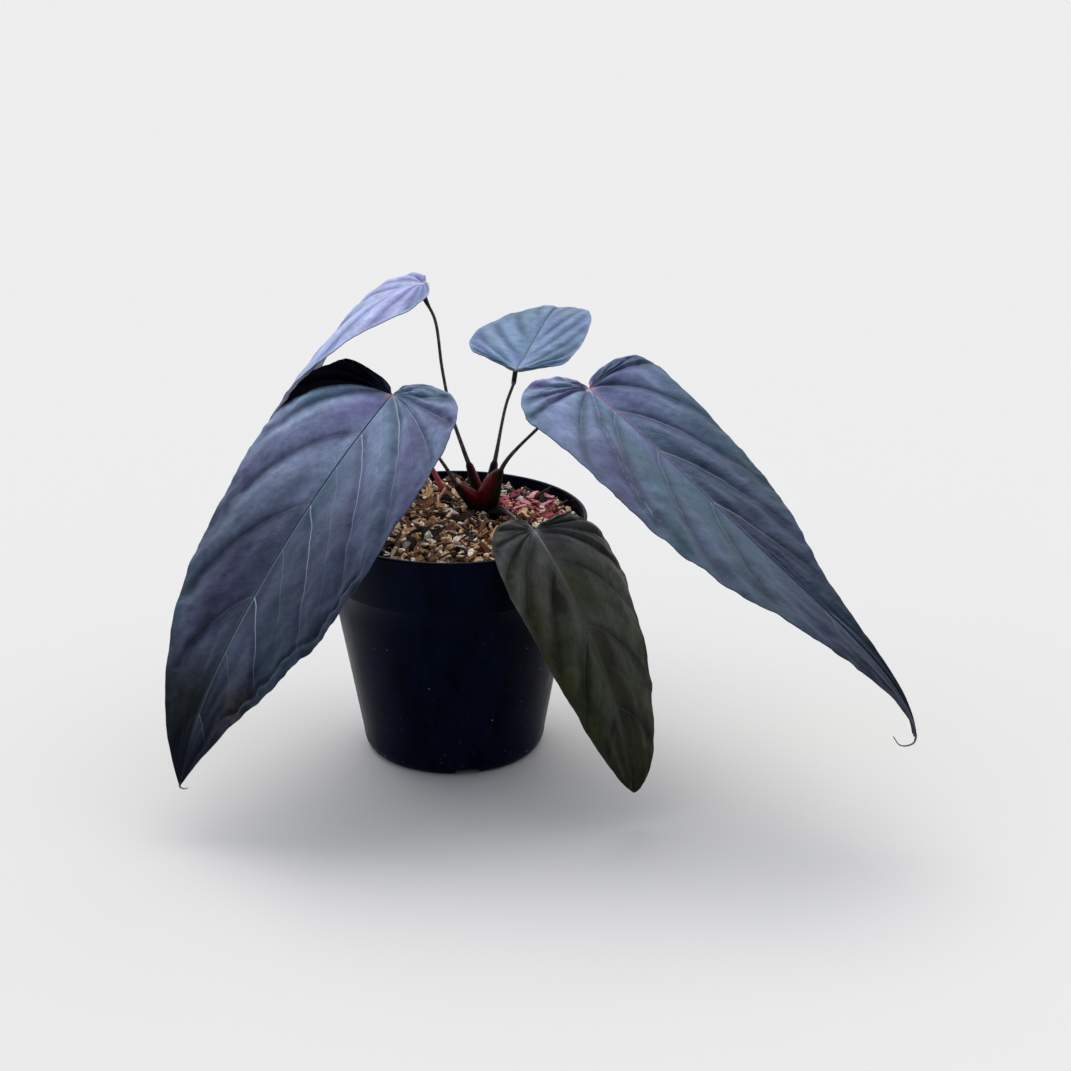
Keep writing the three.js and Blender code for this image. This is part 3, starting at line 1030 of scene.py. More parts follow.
        # The strong vein takes the place of the fine pale ones near it.
        if self.strong_vein and sign < 0:
            gap, strong_run = self.strong_gap(places)
            vein_distance = np.minimum(vein_distance, np.maximum(0, gap - 0.2))
            strong = np.clip(0.85 - 2.2 * strong_run, 0.3, 0.85) * ramp(strong_run, 1, 0.85)
            pale = np.maximum(pale * ramp(gap, 4, 8), ramp(gap, 1.9, 0.9) * strong)
        # Painted shade in the valleys beside the veins
        valley = bell(vein_distance, VALLEY_WIDTH) * ramp(across, 0, 6) * ramp(share, 1, 0.9)
        # Painted shade: a half that is turned from the light is darkest a bit before its middle.
        dusk = dusk * (0.62 + 0.38 * bell(run - 0.42, 0.2))
        return vein_distance, pale, np.clip(dusk + 0.75 * valley, 0, 0.9) * (1 - 0.6 * pale)

    def half_grid(
        self, half: Half, sign: int, rows: np.ndarray, shares: np.ndarray
    ) -> dict[str, np.ndarray]:
        """Works out one half of the blade.

        Args:
            half: The half's outline.
            sign: 1 for the left half, -1 for the right one.
            rows: Rows of the grid.
            shares: Columns of the grid, as shares from the midrib to the margin.

        Returns:
            Upper and lower points and the values of the material, one row for each point.
        """
        row, share = (grid.ravel() for grid in np.meshgrid(rows, shares, indexing="ij"))
        places = self.flat(half, row, share)
        across, along = places.T
        vein_distance = self.vein_gap(half, 1 + 2 * np.round((row - 1) / 2), share, places)
        fine_distance = self.vein_gap(half, 2 * np.round(row / 2), share, places)
        edge_distance = np.linalg.norm(places - self.outline(half, row), axis=1)
        bumps, fine, ripple, band = self.noises(half, sign, row, share, places)
        flange, fold = self.margin_fold(sign, row, edge_distance, bumps)

        # Calm at the midrib, and crumpled most near the margin
        off_rib = ramp(across, 0, 5)
        crinkle = self.crinkle_left if sign > 0 else self.crinkle_right
        strength = (0.35 + crinkle * ramp(share, 0.5, 0.9) + 0.5 * flange) * off_rib
        vein_groove = bell(vein_distance, VEIN_GROOVE_WIDTH) * ramp(across, 0, 2)
        fine_groove = bell(fine_distance, FINE_GROOVE_WIDTH) * off_rib
        lift = self.relief(row, share) + (BUMP_HEIGHT * bumps + FINE_BUMP_HEIGHT * fine) * strength
        lift += self.ripple * ripple * off_rib * np.clip((1 - share) / 0.12, 0.15, 1)
        lift -= VEIN_GROOVE_DEPTH * (vein_groove + fine_groove) * (1 - share)
        lift += FLANGE_RISE * flange - FOLD_DEPTH * fold

        # Painted shade along the fold of the turned-up margin; the dark patches listed as shades are
        # added to it
        crease = 0.97 * fold * np.clip(0.85 + 1.6 * ripple, 0.25, 1)
        crease = np.maximum(crease, self.blotches(self.shades, places, sign))
        stain = self.blotches(self.stains, places, sign)
        node = 0.9 * ramp(np.hypot(across, along), NODE_REACH, 0) ** 1.4
        # Painted deep shade on the right half up to its row, a little lighter near the midrib
        painted_shade = np.zeros_like(row)
        if self.painted_shade_row and sign < 0:
            painted_shade = ramp(row, self.painted_shade_row, self.painted_shade_row - SHADE_SOFTNESS)
            painted_shade *= 0.995 - 0.12 * bell(across, 10)
        vein_distance, pale, valley = self.vein_tones(sign, share, places, vein_distance)
        # A larger distance from the veins lets them thin out towards the margin.
        vein_distance = vein_distance + VEIN_THINNING * share
        fine_distance = fine_distance + FINE_THINNING * share
        tone = 0.5 + 0.62 * band + 0.22 * flange
        thickness = BLADE - EDGE_THINNING * share**2
        return {
            "upper": self.surface(half, sign, across, along, lift),
            "lower": self.surface(half, sign, across, along, lift - thickness),
            "veins": np.stack([vein_distance, across, fine_distance], axis=1),
            "zones": np.stack([along / self.length, painted_shade, np.zeros_like(row)], axis=1),
            "marks": np.stack([crease, stain, node], axis=1),
            "tones": np.stack([pale, valley, tone], axis=1),
        }

    def build_blade(self) -> bpy.types.Object:
        """Makes the blade in mesh code, because its faces have to follow the veins.

        Returns:
            The closed blade, grooved along its midrib.
        """
        count = sum(MARGIN_STEPS)
        rows = np.linspace(1, count, (count - 1) * self.sub_rows + 1)
        shares = np.concatenate([[0, 0.006, 0.014, 0.024, 0.04], np.linspace(0.06, 1, self.columns - 4)])
        columns = len(shares)
        layers: dict[str, list[np.ndarray]] = {}
        faces: list[tuple[int, ...]] = []
        offset = 0
        for sign, half in ((1, self.left), (-1, self.right)):
            grid = self.half_grid(half, sign, rows, shares)
            size = len(grid["upper"])
            layers.setdefault("points", []).extend([grid["upper"], grid["lower"]])
            for key in BLADE_LAYERS:
                lower = grid[key].copy()
                if key == "zones":
                    lower[:, 2] = 1
                layers.setdefault(key, []).extend([grid[key], lower])
            index = offset + np.arange(size).reshape(len(rows), columns)
            corners = (index[:-1, :-1], index[1:, :-1], index[1:, 1:], index[:-1, 1:])
            top = np.stack(corners, axis=-1).reshape(-1, 4)
            if sign < 0:
                top = top[:, ::-1]
            faces.extend(map(tuple, top.tolist()))
            faces.extend(map(tuple, (top[:, ::-1] + size).tolist()))
            border = np.concatenate([index[0], index[1:, -1]])
            if sign < 0:
                border = border[::-1]
            for a, b in zip(border[:-1].tolist(), border[1:].tolist()):
                faces.append((a, b, b + size, a + size))
            offset += 2 * size
        piece = mesh_piece(f"leaf_{self.name}", np.vstack(layers["points"]), faces)
        for key in BLADE_LAYERS:
            write_attribute(piece, key, np.vstack(layers[key]))
        close_shell(piece, merge=0.004, crease=70)
        piece.data.materials.append(self.finish.material())
        # Faces in the painted deep shade take the copy of the velvet without sheen or gloss
        if self.painted_shade_row:
            piece.data.materials.append(self.finish.in_deep_shade().material())
            zones = np.zeros(3 * len(piece.data.vertices), np.float32)
            piece.data.attributes["zones"].data.foreach_get("vector", zones)
            painted_shade = zones.reshape(-1, 3)[:, 1]
            for face in piece.data.polygons:
                face.material_index = int(min(painted_shade[k] for k in face.vertices) > 0.3)
        return piece

    def build_rib(self) -> bpy.types.Object:
        """Makes the midrib: a bar that shows as a cord above and as a keel below.

        Returns:
            The midrib, closed at both ends.
        """
        distances = np.linspace(0.5, self.length - 1.5, 110)
        rows = np.interp(distances, *self.rib_rows())
        sunk = 0.5 + 0.35 * ramp(distances / self.length, 0.5, 0.85)
        lift = self.relief(rows, np.zeros_like(rows)) - sunk
        path = self.surface(self.left, 1, np.zeros_like(distances), distances, lift)
        outwards = self.directions(distances[:1])[2][0]

        def radius(along: np.ndarray, angle: np.ndarray) -> np.ndarray:
            """Gives an oval section, deeper than it is wide, that thins towards the tip.

            Args:
                along: Shares of the path.
                angle: Angles from the outward direction.

            Returns:
                Radii in millimetres.
            """
            thin = 1.0 - 0.6 * along**0.8
            return thin * (0.38 + 0.55 * np.cos(angle) ** 2 * np.where(np.cos(angle) < 0, 1.25, 0.35))

        piece = sweep(f"rib_{self.name}", path, radius, 12, tuple(outwards))
        places = np.array([vertex.co for vertex in piece.data.vertices]) / MM
        nearest = np.linalg.norm(places[:, None] - path[None], axis=2).argmin(axis=1)
        share = distances[nearest] / self.length
        none = np.zeros_like(share)
        write_attribute(piece, "zones", np.stack([share, none, none], axis=1))
        piece.data.materials.append(self.finish.rib_material())
        return piece

    def rib_rows(self) -> tuple[np.ndarray, np.ndarray]:
        """Gives where on the midrib the rows start, to read the row from a distance.

        Returns:
            Distances from the base, and the row at each.
        """
        rows = np.linspace(4, sum(MARGIN_STEPS), 400)
        return self.row_starts(rows), rows

    def stalk_line(self, crown: "Crown") -> np.ndarray:
        """Gives the way of the stalk from inside the crown to just under the blade's base.

        Args:
            crown: The crown that it rises from.

        Returns:
            Points every millimetre.
        """
        along, _, outwards = (d[0] for d in self.directions(np.zeros(1)))
        end = np.array(self.base) - outwards * (BLADE + RIB_GROOVE + CLEARANCE) + along
        knee = end - outwards * 5
        root = (crown.x, crown.y, crown.top - crown.depth)
        return smooth_path([root, *self.stalk, tuple(knee), tuple(end)], 1.0)

    def build_stalk(self, crown: "Crown") -> bpy.types.Object:
        """Makes the stalk with the swollen knee below the blade.

        Args:
            crown: The crown that it rises from.

        Returns:
            The stalk.
        """
        line = self.stalk_line(crown)
        line = line[int(crown.sheath_length) - 2 :]
        run = np.arange(len(line)) / (len(line) - 1)
        left = (1 - run) * (len(line) - 1)
        slim = STALK_FOOT + (STALK_MIDDLE - STALK_FOOT) * np.minimum(1, 3 * run)
        body = slim + (STALK_NECK - slim) * run
        knee = ramp(left, KNEE_LENGTH, KNEE_CORE)
        knee = knee * knee * (3 - 2 * knee)
        radii = body + (STALK_KNEE - body) * knee
        piece = tube(f"petiole_{self.name}", line, radii.tolist(), 3)
        heights = np.array([v.co for v in piece.data.vertices]) / MM
        reach = np.linalg.norm(heights - line[-1], axis=1)
        write_attribute(piece, "knee", ramp(reach, KNEE_LENGTH + 2, KNEE_CORE + 3))
        return piece

    def build_thread(self) -> bpy.types.Object | None:
        """Makes the thin dry thread at the blade's tip, where it has one.

        Returns:
            The thread, or nothing.
        """
        if not self.tip_thread:
            return None
        ends = np.array([self.length - 2, self.length])
        tip = self.surface(self.left, 1, np.zeros(2), ends, np.full(2, -BLADE / 2))
        path = smooth_path([*map(tuple, tip), *self.tip_thread], 0.5)
        radii = np.interp(np.linspace(0, 1, len(path)), [0, 0.3, 1], [0.5, 0.42, 0.16])
        piece = tube(f"thread_{self.name}", path, radii.tolist(), 2)
        piece.data.materials.append(DryTip().material())
        return piece

    def make(self, crown: "Crown", stalk_finish: bpy.types.Material) -> None:
        """Builds the leaf, dresses it and hands it over.

        Args:
            crown: The crown that it rises from.
            stalk_finish: Material of the stalk.
        """
        parts = [self.build_blade(), self.build_rib()]
        thread = self.build_thread()
        if thread:
            parts.append(thread)
        blade = join(f"leaf_{self.name}", parts)
        take(blade, f"blade_{self.name}", f"blade_{self.name}")
        stalk = self.build_stalk(crown)
        stalk.data.materials.append(stalk_finish)
        take(stalk, "stalk", f"stalk_{self.name}")


@dataclass(frozen=True)
class DryTip:
    """Dry brown tissue of a withered drip tip: matt and streaked."""

    dark: str = "#23242b"
    pale: str = "#6b6a72"

    def material(self) -> bpy.types.Material:
        """Makes the material.

        Returns:
            The streaked tissue.
        """
        material, tree = new_material("dry_tip_tissue")
        place = add_node(tree, "ShaderNodeTexCoord").outputs["Object"]
        # Streaks of about 1.5 mm
        streaks = add_node(
            tree, "ShaderNodeTexNoise", {"Vector": place, "Scale": 700.0, "Detail": 2.0}
        ).outputs["Fac"]
        colour = add_node(
            tree, "ShaderNodeValToRGB", {0: streaks}, ((0.35, self.dark), (0.65, self.pale))
        ).outputs["Color"]
        skin = add_node(
            tree, "ShaderNodeBsdfPrincipled", {"Base Color": colour, "Roughness": 0.7, "IOR": 1.45}
        )
        add_node(tree, "ShaderNodeOutputMaterial", {"Surface": skin.outputs["BSDF"]})
        return material


@dataclass(frozen=True)
class StalkSkin:
    """Waxy skin of a stalk: grey-brown with pale lengthwise flecks, and nearly black at the knee."""

    dark: str = "#2a2629"
    middle: str = "#4b4449"
    fleck: str = "#7d7172"
    knee: str = "#0f0c0f"

    def material(self) -> bpy.types.Material:
        """Makes the material.

        Returns:
            The skin, which reads where the knee is.
        """
        material, tree = new_material("stalk_skin")
        place = add_node(tree, "ShaderNodeTexCoord").outputs["Object"]
        knee = add_node(tree, "ShaderNodeAttribute", attribute_name="knee").outputs["Fac"]
        # Flecks (lenticels) about 2 mm long and 0.7 mm wide
        drawn = add_node(
            tree, "ShaderNodeMapping", {"Vector": place, "Scale": (1.0, 1.0, 0.3)}
        ).outputs["Vector"]
        flecks = add_node(
            tree, "ShaderNodeTexNoise", {"Vector": drawn, "Scale": 1500.0, "Detail": 2.0}
        ).outputs["Fac"]
        tone = add_node(
            tree,
            "ShaderNodeValToRGB",
            {0: flecks},
            ((0.42, self.dark), (0.62, self.middle), (0.75, self.fleck)),
        ).outputs["Color"]
        colour = add_node(
            tree, "ShaderNodeMix", {0: knee, 6: tone, 7: linear(self.knee)}, data_type="RGBA"
        ).outputs[2]
        bump = add_node(
            tree, "ShaderNodeBump", {"Strength": 0.3, "Distance": 0.0003, "Height": flecks}
        ).outputs["Normal"]
        skin = add_node(
            tree,
            "ShaderNodeBsdfPrincipled",
            {
                "Base Color": colour,
                "Roughness": 0.45,
                "IOR": 1.45,
                "Specular IOR Level": 0.25,
                "Normal": bump,
            },
        )
        add_node(tree, "ShaderNodeOutputMaterial", {"Surface": skin.outputs["BSDF"]})
        return material


# Crown and shoot


@dataclass
class Crown:
    """Rootstock in the mix and the sheathed feet of the stalks."""

    x: float = 14
    y: float = 17
    top: float = 108
    radius: float = 6.4
    depth: float = 12
    sheath_length: float = 32
    sheath_foot: float = 4.8
    sheath_end: float = 1.6

    def build_stock(self) -> bpy.types.Object:
        """Makes the short knobbly rootstock with the rings of old leaf scars.

        Returns:
            The rootstock.
        """
        deselect_all()
        bpy.ops.mesh.primitive_cylinder_add(
            vertices=40,
            radius=self.radius * 0.95 * MM,
            depth=self.depth * MM,
            location=(self.x * MM, self.y * MM, (self.top - self.depth) * MM),
        )
        stock = rename_active("rootstock")
        bpy.ops.object.mode_set(mode="EDIT")
        bpy.ops.mesh.select_all(action="SELECT")
        bpy.ops.mesh.bevel(offset=1.6 * MM, segments=3)
        bpy.ops.mesh.subdivide(number_cuts=2)
        bpy.ops.object.mode_set(mode="OBJECT")
        settle(stock)
        for vertex in stock.data.vertices:
            place = vertex.co / MM
            from_axis = Vector((place.x - self.x, place.y - self.y, 0))
            ring = 0.35 * math.sin(place.z * 2.1) + 0.7 * noise.noise(place / 2.6)
            vertex.co += from_axis.normalized() * ring * MM if from_axis.length > 0.5 else Vector()
        close_shell(stock)
        return stock

    def build_sheath(self, leaf: Leaf) -> bpy.types.Object:
        """Makes the sheathed foot of one stalk: ribbed, keeled and wider than the stalk.

        Args:
            leaf: The leaf that the stalk carries.

        Returns:
            The sheath.
        """
        line = even_path(leaf.stalk_line(self)[: int(self.sheath_length) + 1], 0.6)
        seed = leaf.wave * 10

        def radius(share: np.ndarray, angle: np.ndarray) -> np.ndarray:
            """Tapers from the foot to the stalk, with fine ribs, and widens to the wing's side.

            Args:
                share: Shares of the path.
                angle: Angles round it, from the direction +X.

            Returns:
                Radii in millimetres.
            """
            body = self.sheath_foot + (self.sheath_end - self.sheath_foot) * share**0.8
            ribs = 1 + 0.035 * np.cos(11 * angle + seed) * (1 - share)
            wing = np.maximum(0, leaf.wing * np.cos(angle)) * np.sin(np.pi * share**1.3)
            mouth = 1 - 0.35 * ramp(share, 0.95, 1)
            return (body * ribs + wing) * mouth

        def blush(share: np.ndarray, angle: np.ndarray) -> np.ndarray:
            """Reddens the inner side of the sheath, where light comes through.

            Args:
                share: Shares of the path.
                angle: Angles round it, from the direction +X.

            Returns:
                Redness from 0 to 1.
            """
            facing = ramp(np.cos(angle - leaf.blush_angle), 0.15, 0.775)
            return facing * ramp(share, 0.4, 0.6) * ramp(share, 1, 0.85)

        return sweep(f"sheath_{leaf.name}", line, radius, 30, blush=blush)

    def make(self, leaves: Sequence[Leaf]) -> None:
        """Builds the crown, dresses it and hands it over.

        Args:
            leaves: The leaves whose stalks it holds.
        """
        crown = join("crown_stock", [self.build_stock(), *(self.build_sheath(leaf) for leaf in leaves)])
        skin = SheathSkin(name="crown_sheath", dark="#030203", middle="#0d0506", red="#6a0d14")
        crown.data.materials.append(skin.material())
        take(crown, "crown_sheath", "crown")


@dataclass(frozen=True)
class SheathSkin:
    """Glossy skin of young sheaths: nearly black, and red where light comes through."""

    name: str
    dark: str
    middle: str
    red: str

    def material(self) -> bpy.types.Material:
        """Makes the material.

        Returns:
            The skin, which reads where the sheath blushes.
        """
        material, tree = new_material(self.name)
        place = add_node(tree, "ShaderNodeTexCoord").outputs["Object"]
        blush = add_node(tree, "ShaderNodeAttribute", attribute_name="blush").outputs["Fac"]
        drawn = add_node(
            tree, "ShaderNodeMapping", {"Vector": place, "Scale": (1.0, 1.0, 0.12)}
        ).outputs["Vector"]
        # Tone in patches of about 9 mm, and lengthwise veins 0.7 mm apart
        patches, fibres = (
            add_node(
                tree, "ShaderNodeTexNoise", {"Vector": vector, "Scale": scale, "Detail": 3.0}
            ).outputs["Fac"]
            for vector, scale in ((place, 110.0), (drawn, 1400.0))
        )
        dark_tone, fibre_tone = (
            add_node(tree, "ShaderNodeValToRGB", {0: value}, stops).outputs["Color"]
            for value, stops in (
                (patches, ((0.4, self.dark), (0.65, self.middle))),
                (fibres, ((0.35, "#8a8a8a"), (0.65, "#ffffff"))),
            )
        )
        colour = dark_tone
        for share, tint, blend in ((blush, linear(self.red), "MIX"), (0.8, fibre_tone, "MULTIPLY")):
            colour = add_node(
                tree, "ShaderNodeMix", {0: share, 6: colour, 7: tint}, data_type="RGBA", blend_type=blend
            ).outputs[2]
        bump = add_node(
            tree, "ShaderNodeBump", {"Strength": 0.4, "Distance": 0.0004, "Height": fibres}
        ).outputs["Normal"]
        skin = add_node(
            tree,
            "ShaderNodeBsdfPrincipled",
            {
                "Base Color": colour,
                "Roughness": 0.38,
                "IOR": 1.45,
                "Specular IOR Level": 0.2,
                "Normal": bump,
            },
        )
        add_node(tree, "ShaderNodeOutputMaterial", {"Surface": skin.outputs["BSDF"]})
        return material


@dataclass
class Shoot:
    """Young red shoot beside the crown."""

    path: Sequence[Place] = ((-2, 34, 92), (-3.5, 34.5, 103), (-7.5, 37, 112), (-11.5, 41, 119))
    foot: float = 2.6
    tip: float = 0.9

    def make(self) -> None:
        """Builds the shoot as a rolled sheath with a seam, dresses it and hands it over."""

        def radius(share: np.ndarray, angle: np.ndarray) -> np.ndarray:
            """Tapers to the tip, with a lengthwise seam and a rounded end.

            Args:
                share: Shares of the path.
                angle: Angles round it.

            Returns:
                Radii in millimetres.
            """
            body = self.foot + (self.tip - self.foot) * share
            seam = 1 - 0.14 * bell(angle - np.pi, 0.35)
            end = np.sqrt(np.clip((1 - share) / 0.04, 0.02, 1))
            return body * seam * end

        def blush(share: np.ndarray, angle: np.ndarray) -> np.ndarray:
            """Gives the redness, strongest a bit past the middle."""
            return np.clip(1.1 - 1.4 * np.abs(share - 0.6), 0, 1) * np.ones_like(angle)

        shoot = sweep("red_shoot_skin", smooth_path(self.path, 0.5), radius, 26, blush=blush)
        skin = SheathSkin(name="shoot_skin", dark="#3c0f16", middle="#641b23", red="#b0454c")
        shoot.data.materials.append(skin.material())
        take(shoot, "shoot", "red_shoot")


# Pot


@dataclass
class Pot:
    """Moulded nursery pot with a collar and notches through the edge of its foot."""

    height: float = 109
    rim_radius: float = 60
    collar_radius: float = 57
    collar_height: float = 83.5
    body_top_radius: float = 54.5
    heel_radius: float = 41.2
    heel_height: float = 8
    foot_radius: float = 36.5
    wall: float = 1.4
    floor: float = 1.6
    collar_step: float = 1.5
    notch_count: int = 4
    notch_angle: float = -80
    notch_height: float = 3.2
    notch_foot: float = 13.5
    notch_top: float = 9.5
    notch_middle: float = 35.5
    notch_length: float = 21
    sides: int = 192

    def outer_profile(self) -> list[tuple[float, float]]:
        """Gives the wall's outside from the foot to the rim.

        Returns:
            Radii and heights in millimetres.
        """
        heel = []
        for i in range(9):
            angle = math.pi / 2 * i / 8
            radius = self.foot_radius + (self.heel_radius - self.foot_radius) * math.sin(angle)
            heel.append((radius, self.heel_height * (1 - math.cos(angle))))
        step = self.collar_height
        body = []
        for i in range(1, 8):
            share = i / 8
            height = self.heel_height + share * (step - self.collar_step - self.heel_height)
            body.append((self.heel_radius + share * (self.body_top_radius - self.heel_radius), height))
        return [
            *heel,
            *body,
            (self.body_top_radius, step - self.collar_step),
            (self.body_top_radius + 0.5, step - 0.9),
            (self.collar_radius - 0.9, step - 0.15),
            (self.collar_radius - 0.3, step + 0.15),
            (self.collar_radius, step + 0.9),
            (self.rim_radius - 0.15, self.height - 1.3),
            (self.rim_radius, self.height - 0.9),
            (self.rim_radius, self.height - 0.45),
            (self.rim_radius - 0.15, self.height - 0.12),
            (self.rim_radius - 0.45, self.height),
        ]

    def inner_profile(self) -> list[tuple[float, float]]:
        """Gives the wall's inside from the rim down to the floor.

        Returns:
            Radii and heights in millimetres.
        """
        slope = (self.rim_radius - self.collar_radius) / (self.height - self.collar_height)
        step_top = self.collar_height + self.wall + 0.6
        return [
            (self.rim_radius - self.wall + 0.15, self.height),
            (self.rim_radius - self.wall - 0.15, self.height - 0.2),
            (self.collar_radius + slope * (step_top - self.collar_height) - self.wall, step_top),
            (self.body_top_radius - self.wall, self.collar_height - self.collar_step + 0.6),
            (self.heel_radius - self.wall, self.heel_height + 1),
            (self.foot_radius + 1 - self.wall, self.floor),
        ]

    def build_shell(self) -> bpy.types.Object:
        """Draws the pot up from its foot ring by ring and closes its floor.

        Returns:
            The shell without its notches.
        """
        profile = [*self.outer_profile(), *self.inner_profile()]
        radius, height = profile[0]
        deselect_all()
        bpy.ops.mesh.primitive_circle_add(
            vertices=self.sides, radius=radius * MM, fill_type="NGON", location=(0, 0, height * MM)
        )
        shell = rename_active("pot_shell")
        settle(shell)
        bpy.ops.object.mode_set(mode="EDIT")
        bpy.ops.mesh.select_mode(type="EDGE")
        bpy.ops.mesh.select_all(action="SELECT")
        draw_rings(profile)
        bpy.ops.mesh.edge_face_add()
        bpy.ops.mesh.poke()
        bpy.ops.object.mode_set(mode="OBJECT")
        return shell

    def build_notch(self) -> bpy.types.Object:
        """Shapes the cutter of one notch from a block whose top is narrower than its foot.

        Returns:
            The cutter, laid from the middle to the front.
        """
        deselect_all()
        bpy.ops.mesh.primitive_cube_add(
            size=1, location=(0, -self.notch_middle * MM, (self.notch_height - 1) / 2 * MM)
        )
        cutter = rename_active("notch_cutter")
        cutter.scale = (self.notch_foot * MM, self.notch_length * MM, (self.notch_height + 1) * MM)
        settle(cutter)
        bpy.ops.object.mode_set(mode="EDIT")
        bpy.ops.mesh.select_all(action="DESELECT")
        bpy.ops.object.mode_set(mode="OBJECT")
        top = max(v.co.z for v in cutter.data.vertices)
        for vertex in cutter.data.vertices:
            vertex.select = vertex.co.z > top - 0.1 * MM
        bpy.ops.object.mode_set(mode="EDIT")
        bpy.ops.transform.resize(value=(self.notch_top / self.notch_foot, 1, 1))
        bpy.ops.mesh.select_all(action="SELECT")
        bpy.ops.mesh.bevel(offset=0.5 * MM, segments=2)
        bpy.ops.object.mode_set(mode="OBJECT")
        return cutter

    def make(self) -> None:
        """Builds the pot, cuts its notches, dresses it and hands it over."""
        shell = self.build_shell()
        close_shell(shell, crease=45)
        model = self.build_notch()
        for i in range(self.notch_count):
            cutter = bpy.data.objects.new("notch_cutter", model.data.copy())
            bpy.context.scene.collection.objects.link(cutter)
            cutter.rotation_euler.z = math.radians(self.notch_angle + 90 + 360 * i / self.notch_count)
            make_active(shell)
            cut = shell.modifiers.new("notch", "BOOLEAN")
            cut.operation = "DIFFERENCE"
            cut.solver = "EXACT"
            cut.object = cutter
            bpy.ops.object.modifier_apply(modifier=cut.name)
            bpy.data.objects.remove(cutter)
        bpy.data.objects.remove(model)
        close_shell(shell, crease=35)
        shell.data.materials.clear()
        shell.data.materials.append(PotPlastic().material(self.collar_height))
        take(shell, "pot_plastic", "pot")


@dataclass(frozen=True)
class PotPlastic:
    """Moulded black polypropylene: blue-black and glossy, with dust and smears."""

    dark: str = "#010106"
    blue: str = "#050e22"
    dust: str = "#b4b8c0"
    gloss_tint: str = "#7d9ae0"

    def material(self, dusty_height: float) -> bpy.types.Material:
        """Makes the material.

        Args:
            dusty_height: Height in millimetres up to which dust thins out.

        Returns:
            The material.
        """
        material, tree = new_material("moulded_black_polypropylene")
        place = add_node(tree, "ShaderNodeTexCoord").outputs["Object"]
        height = add_node(tree, "ShaderNodeSeparateXYZ", {0: place}).outputs["Z"]
        drawn = add_node(
            tree, "ShaderNodeMapping", {"Vector": place, "Scale": (1.0, 1.0, 0.35)}
        ).outputs["Vector"]
        # Smears of dried water about 12 mm across and drawn down the wall, dust films of about
        # 2 mm, and the faint orange peel of the mould, 1 mm
        smears, film, peel = (
            add_node(
                tree,
                "ShaderNodeTexNoise",
                {"Vector": vector, "Scale": scale, "Detail": 5.0, "Roughness": 0.65},
            ).outputs["Fac"]
            for vector, scale in ((drawn, 85.0), (place, 480.0), (place, 900.0))
        )
        # Dust specks of 0.3 to 0.8 mm, in cells of about 3 mm of which few are taken
        cells = add_node(tree, "ShaderNodeTexVoronoi", {"Vector": place, "Scale": 330.0})
        chooser = add_node(tree, "ShaderNodeSeparateXYZ", {0: cells.outputs["Color"]}).outputs["X"]
        specks, chosen, low, films, rough = (
            add_node(
                tree,
                "ShaderNodeMapRange",
                {"Value": value, "From Min": start, "From Max": end, "To Min": first, "To Max": last},
                interpolation_type="SMOOTHSTEP",
            ).outputs["Result"]
            for value, start, end, first, last in (
                (cells.outputs["Distance"], 0.05, 0.14, 0.85, 0.0),
                (chooser, 0.93, 0.95, 0.0, 1.0),
                (height, 0.0, dusty_height * MM, 1.0, 0.1),
                (film, 0.6, 0.76, 0.0, 0.08),
                (smears, 0.3, 0.75, 0.27, 0.46),
            )
        )
        chosen_specks, low_film = (
            add_node(tree, "ShaderNodeMath", {0: first, 1: second}, operation="MULTIPLY").outputs[0]
            for first, second in ((specks, chosen), (films, low))
        )
        low_specks = add_node(
            tree, "ShaderNodeMath", {0: chosen_specks, 1: low}, operation="MULTIPLY"
        ).outputs[0]
        colour = add_node(
            tree, "ShaderNodeValToRGB", {0: smears}, ((0.3, self.dark), (0.7, self.blue))
        ).outputs["Color"]
        for share in (low_film, low_specks):
            colour = add_node(
                tree, "ShaderNodeMix", {0: share, 6: colour, 7: linear(self.dust)}, data_type="RGBA"
            ).outputs[2]
        bump = add_node(
            tree, "ShaderNodeBump", {"Strength": 0.12, "Distance": 0.0003, "Height": peel}
        ).outputs["Normal"]
        skin = add_node(
            tree,
            "ShaderNodeBsdfPrincipled",
            {
                "Base Color": colour,
                "Roughness": rough,
                "IOR": 1.49,
                "Specular IOR Level": 0.05,
                "Specular Tint": linear(self.gloss_tint),
                "Normal": bump,
            },
        )
        add_node(tree, "ShaderNodeOutputMaterial", {"Surface": skin.outputs["BSDF"]})
        return material


# Potting mix


class ChipKind(Enum):
    """Kinds of pieces in the mix."""

    HULL = "rice_hull"
    SHAVING = "wood_shaving"
    BARK = "bark"
    PERLITE = "perlite"
    FIBRE = "husk_fibre"
    SHRED = "red_shred"


